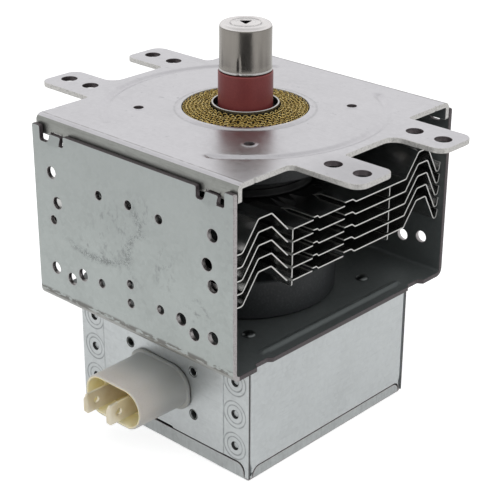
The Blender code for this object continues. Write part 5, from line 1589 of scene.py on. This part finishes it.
def ground_plate():
    node = "capacitor_ground_plate"
    front = -PANEL_FACE + BOX_SHEET + GAP
    half_x = high(node)[0]
    half_z = (high(node)[2] - low(node)[2]) / 2
    bottom = CONNECTOR_HEIGHT - half_z
    top = CONNECTOR_HEIGHT + half_z
    soft = 0.0018
    corners = [(-half_x, bottom, soft), (half_x, bottom, soft), (half_x, top, soft),
               (-half_x, top, soft)]
    bore = 0.00125
    holes = [connector_hole()] + [circle(centre, bore, 24) for centre in EYELETS]

    def place(x, u, depth):
        return Vector((x, front + depth, u))

    bm = sheet_body(filleted(corners), place, 0.0010, [CONNECTOR_HEIGHT], [0.0], holes, step=0.004)
    face = -PANEL_FACE + 0.00002
    profile = [
        (bore, front + 0.0002), (bore, face + 0.0002), (0.00130, face + 0.00005), (0.00137, face),
        (0.00145, face + 0.00005), (EYELET_RADIUS, face + 0.0002),
        (EYELET_RADIUS, front + 0.0002),
    ]
    for centre in EYELETS:
        rings = []
        for radius, y in profile:
            sides = circle(centre, radius, 32)
            rings.append([bm.verts.new((x, y, z)) for x, z in sides])
        for one, two in zip(rings, rings[1:] + rings[:1]):
            for i in range(32):
                bm.faces.new((one[i - 1], one[i], two[i], two[i - 1]))
    piece("ground_eyelets", bm, "eyelet eyelet eyelet", [node])


# ---- everything in place

mounting_plate()
yoke_frame()
magnet("magnet_ring_upper", "upper_magnet")
magnet("magnet_ring_lower", "lower_magnet")
for fin_number in range(1, 6):
    cooling_fin(fin_number)
seal_cup()
insulator()
antenna_cap()
gasket()
box_panel("box_front", "filter_box_front_panel", -1)
box_panel("box_back", "filter_box_back_panel", 1)
box_body()
box_lid()
for rivet_number in range(1, 5):
    rivet(rivet_number, f"box_rivet_{rivet_number}")
connector()
blade("blade_left", "terminal_tab_left")
blade("blade_right", "terminal_tab_right")
ground_plate()

KEPT = {
    # Painted shade: the anode, though copper, the pole pieces, the lower seal cup and the exhaust
    # tube take the near-black look.
    "dark": "anode_block upper_pole_piece lower_pole_piece lower_seal_cup antenna_exhaust_tube",
    "copper": "upper_inner_strap upper_outer_strap lower_inner_strap lower_outer_strap "
              "antenna_lead stem_strip_left stem_strip_right choke_coil_left choke_coil_right",
    "tungsten": "cathode_filament upper_end_hat lower_end_hat cathode_centre_lead "
                "cathode_side_lead",
    "white": "stem_ceramic capacitor_block",
    "ferrite": "choke_core_left choke_core_right",
}
for look_name, node_names in KEPT.items():
    for node_name in node_names.split():
        for material_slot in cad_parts[node_name].material_slots:
            material_slot.material = LOOKS[look_name]


# ---- floor, light and camera


def seen_as(nodes, plain, bright):
    """Mixes two shaders: bright for what the camera, gloss and glass see, plain for the rest."""
    path = nodes.node("ShaderNodeLightPath").outputs
    seen = nodes.highest(path["Is Camera Ray"], path["Is Glossy Ray"])
    return nodes.mixed(nodes.highest(seen, path["Is Transmission Ray"]), plain, bright)


def studio_sheet(name, material, corners):
    """A flat sheet of the studio, and the nodes of its material."""
    bm = bmesh.new()
    bm.faces.new([bm.verts.new(corner) for corner in corners])
    mesh = bpy.data.meshes.new(name)
    bm.to_mesh(mesh)
    bm.free()
    made = bpy.data.objects.new(name, mesh)
    bpy.context.collection.objects.link(made)
    surface = bpy.data.materials.new(material)
    surface.use_nodes = True
    mesh.materials.append(surface)
    return made, Nodes(surface.node_tree)


def make_floor():
    size = 4.0
    corners = [(-size, -size, 0), (size, -size, 0), (size, size, 0), (-size, size, 0)]
    made, nodes = studio_sheet("floor", "floor_white", corners)
    nodes.nodes.clear()
    diffuse = nodes.node("ShaderNodeBsdfDiffuse", {"Color": (0.80, 0.80, 0.80, 1)}).outputs["BSDF"]
    camera = nodes.node("ShaderNodeLightPath").outputs["Is Camera Ray"]
    strength = nodes.math("ADD", nodes.times(camera, 0.27), 0.33)
    glow = nodes.node("ShaderNodeEmission", {"Strength": strength}).outputs["Emission"]
    both = nodes.node("ShaderNodeAddShader", {0: diffuse, 1: glow}).outputs["Shader"]
    nodes.node("ShaderNodeOutputMaterial", {"Surface": seen_as(nodes, diffuse, both)})


def make_world():
    """White where it is seen, softly graded where metal mirrors it, and half as strong as light."""
    world = bpy.data.worlds.new("studio")
    world.use_nodes = True
    nodes = Nodes(world.node_tree)
    nodes.nodes.clear()
    height = nodes.split(nodes.node("ShaderNodeTexCoord").outputs["Generated"], "Z")
    grade = nodes.times(nodes.span(height, 0.0, 0.34, 0.80, 1.0),
                        nodes.span(height, 0.50, 0.90, 1.0, 0.72))
    shades = []
    for level in (0.50, 1.0, grade):
        made = nodes.node("ShaderNodeBackground", {"Color": (1, 1, 1, 1), "Strength": level})
        shades.append(made.outputs["Background"])
    gloss = nodes.node("ShaderNodeLightPath").outputs["Is Glossy Ray"]
    surface = nodes.mixed(gloss, seen_as(nodes, shades[0], shades[1]), shades[2])
    nodes.node("ShaderNodeOutputWorld", {"Surface": surface})
    bpy.context.scene.world = world


def lamp(name, place, target, size, power):
    data = bpy.data.lights.new(name, "AREA")
    data.shape = "RECTANGLE"
    data.size, data.size_y = size
    data.energy = power
    made = bpy.data.objects.new(name, data)
    made.location = place
    made.rotation_euler = (Vector(place) - Vector(target)).to_track_quat("Z", "Y").to_euler()
    made.visible_glossy = False
    bpy.context.collection.objects.link(made)


def make_camera():
    """The camera found from the photograph: yaw, pitch, roll, distance and lens."""
    yaw = CAMERA_YAW
    pitch = CAMERA_PITCH
    roll = math.radians(0.31)
    distance = 0.4288
    right = Vector((math.cos(yaw), math.sin(yaw), 0))
    target = right * 0.00154 + Vector((0, 0, PLATE_TOP - 0.04557))
    level = math.cos(pitch)
    back = Vector((math.sin(yaw) * level, -math.cos(yaw) * level, math.sin(pitch)))
    up = back.cross(right)
    turned = Matrix((right, up, back)).transposed() @ Matrix.Rotation(roll, 3, "Z")
    data = bpy.data.cameras.new("camera")
    data.lens = 101.64
    data.sensor_width = 36.0
    data.clip_start = 0.01
    made = bpy.data.objects.new("camera", data)
    made.matrix_world = Matrix.Translation(target + back * distance) @ turned.to_4x4()
    bpy.context.collection.objects.link(made)
    bpy.context.scene.camera = made


def make_card():
    """A dark card that the metal mirrors.

    Up to the plate's level it shows in any mirroring, and above that only in a mirror's mirror,
    so the cap shows it by way of the plate and the plate itself doesn't.
    """
    half = 0.13
    foot = 0.002
    top = 0.26
    right = Vector((math.cos(CAMERA_YAW), math.sin(CAMERA_YAW), 0))
    middle = Vector((math.sin(CAMERA_YAW), -math.cos(CAMERA_YAW), 0)) * 0.25
    corners = [middle + right * side + Vector((0, 0, height))
               for side, height in ((-half, foot), (half, foot), (half, top), (-half, top))]
    made, nodes = studio_sheet("dark_card", "dark_card", corners)
    shader = nodes.nodes["Principled BSDF"]
    shader.inputs["Base Color"].default_value = (0.05, 0.05, 0.05, 1)
    shader.inputs["Roughness"].default_value = 1.0
    bounces = nodes.node("ShaderNodeLightPath").outputs["Ray Depth"]
    height = nodes.split(nodes.node("ShaderNodeNewGeometry").outputs["Position"], "Z")
    dark = nodes.highest(nodes.math("GREATER_THAN", bounces, 1.5),
                         nodes.math("LESS_THAN", height, 0.095))
    clear = nodes.node("ShaderNodeBsdfTransparent").outputs["BSDF"]
    surface = nodes.nodes["Material Output"].inputs["Surface"]
    nodes.links.new(nodes.mixed(dark, clear, shader.outputs["BSDF"]), surface)
    made.visible_camera = False
    made.visible_diffuse = False
    made.visible_shadow = False


make_floor()
make_world()
make_card()
lamp("key", (0.5, -0.2, 1.0), (0, 0, 0.05), (0.9, 0.9), 5.0)
lamp("fill", (-0.8, -0.5, 0.7), (0, 0, 0.05), (0.8, 0.8), 3.0)
make_camera()

scene = bpy.context.scene
scene.view_settings.view_transform = "Standard"
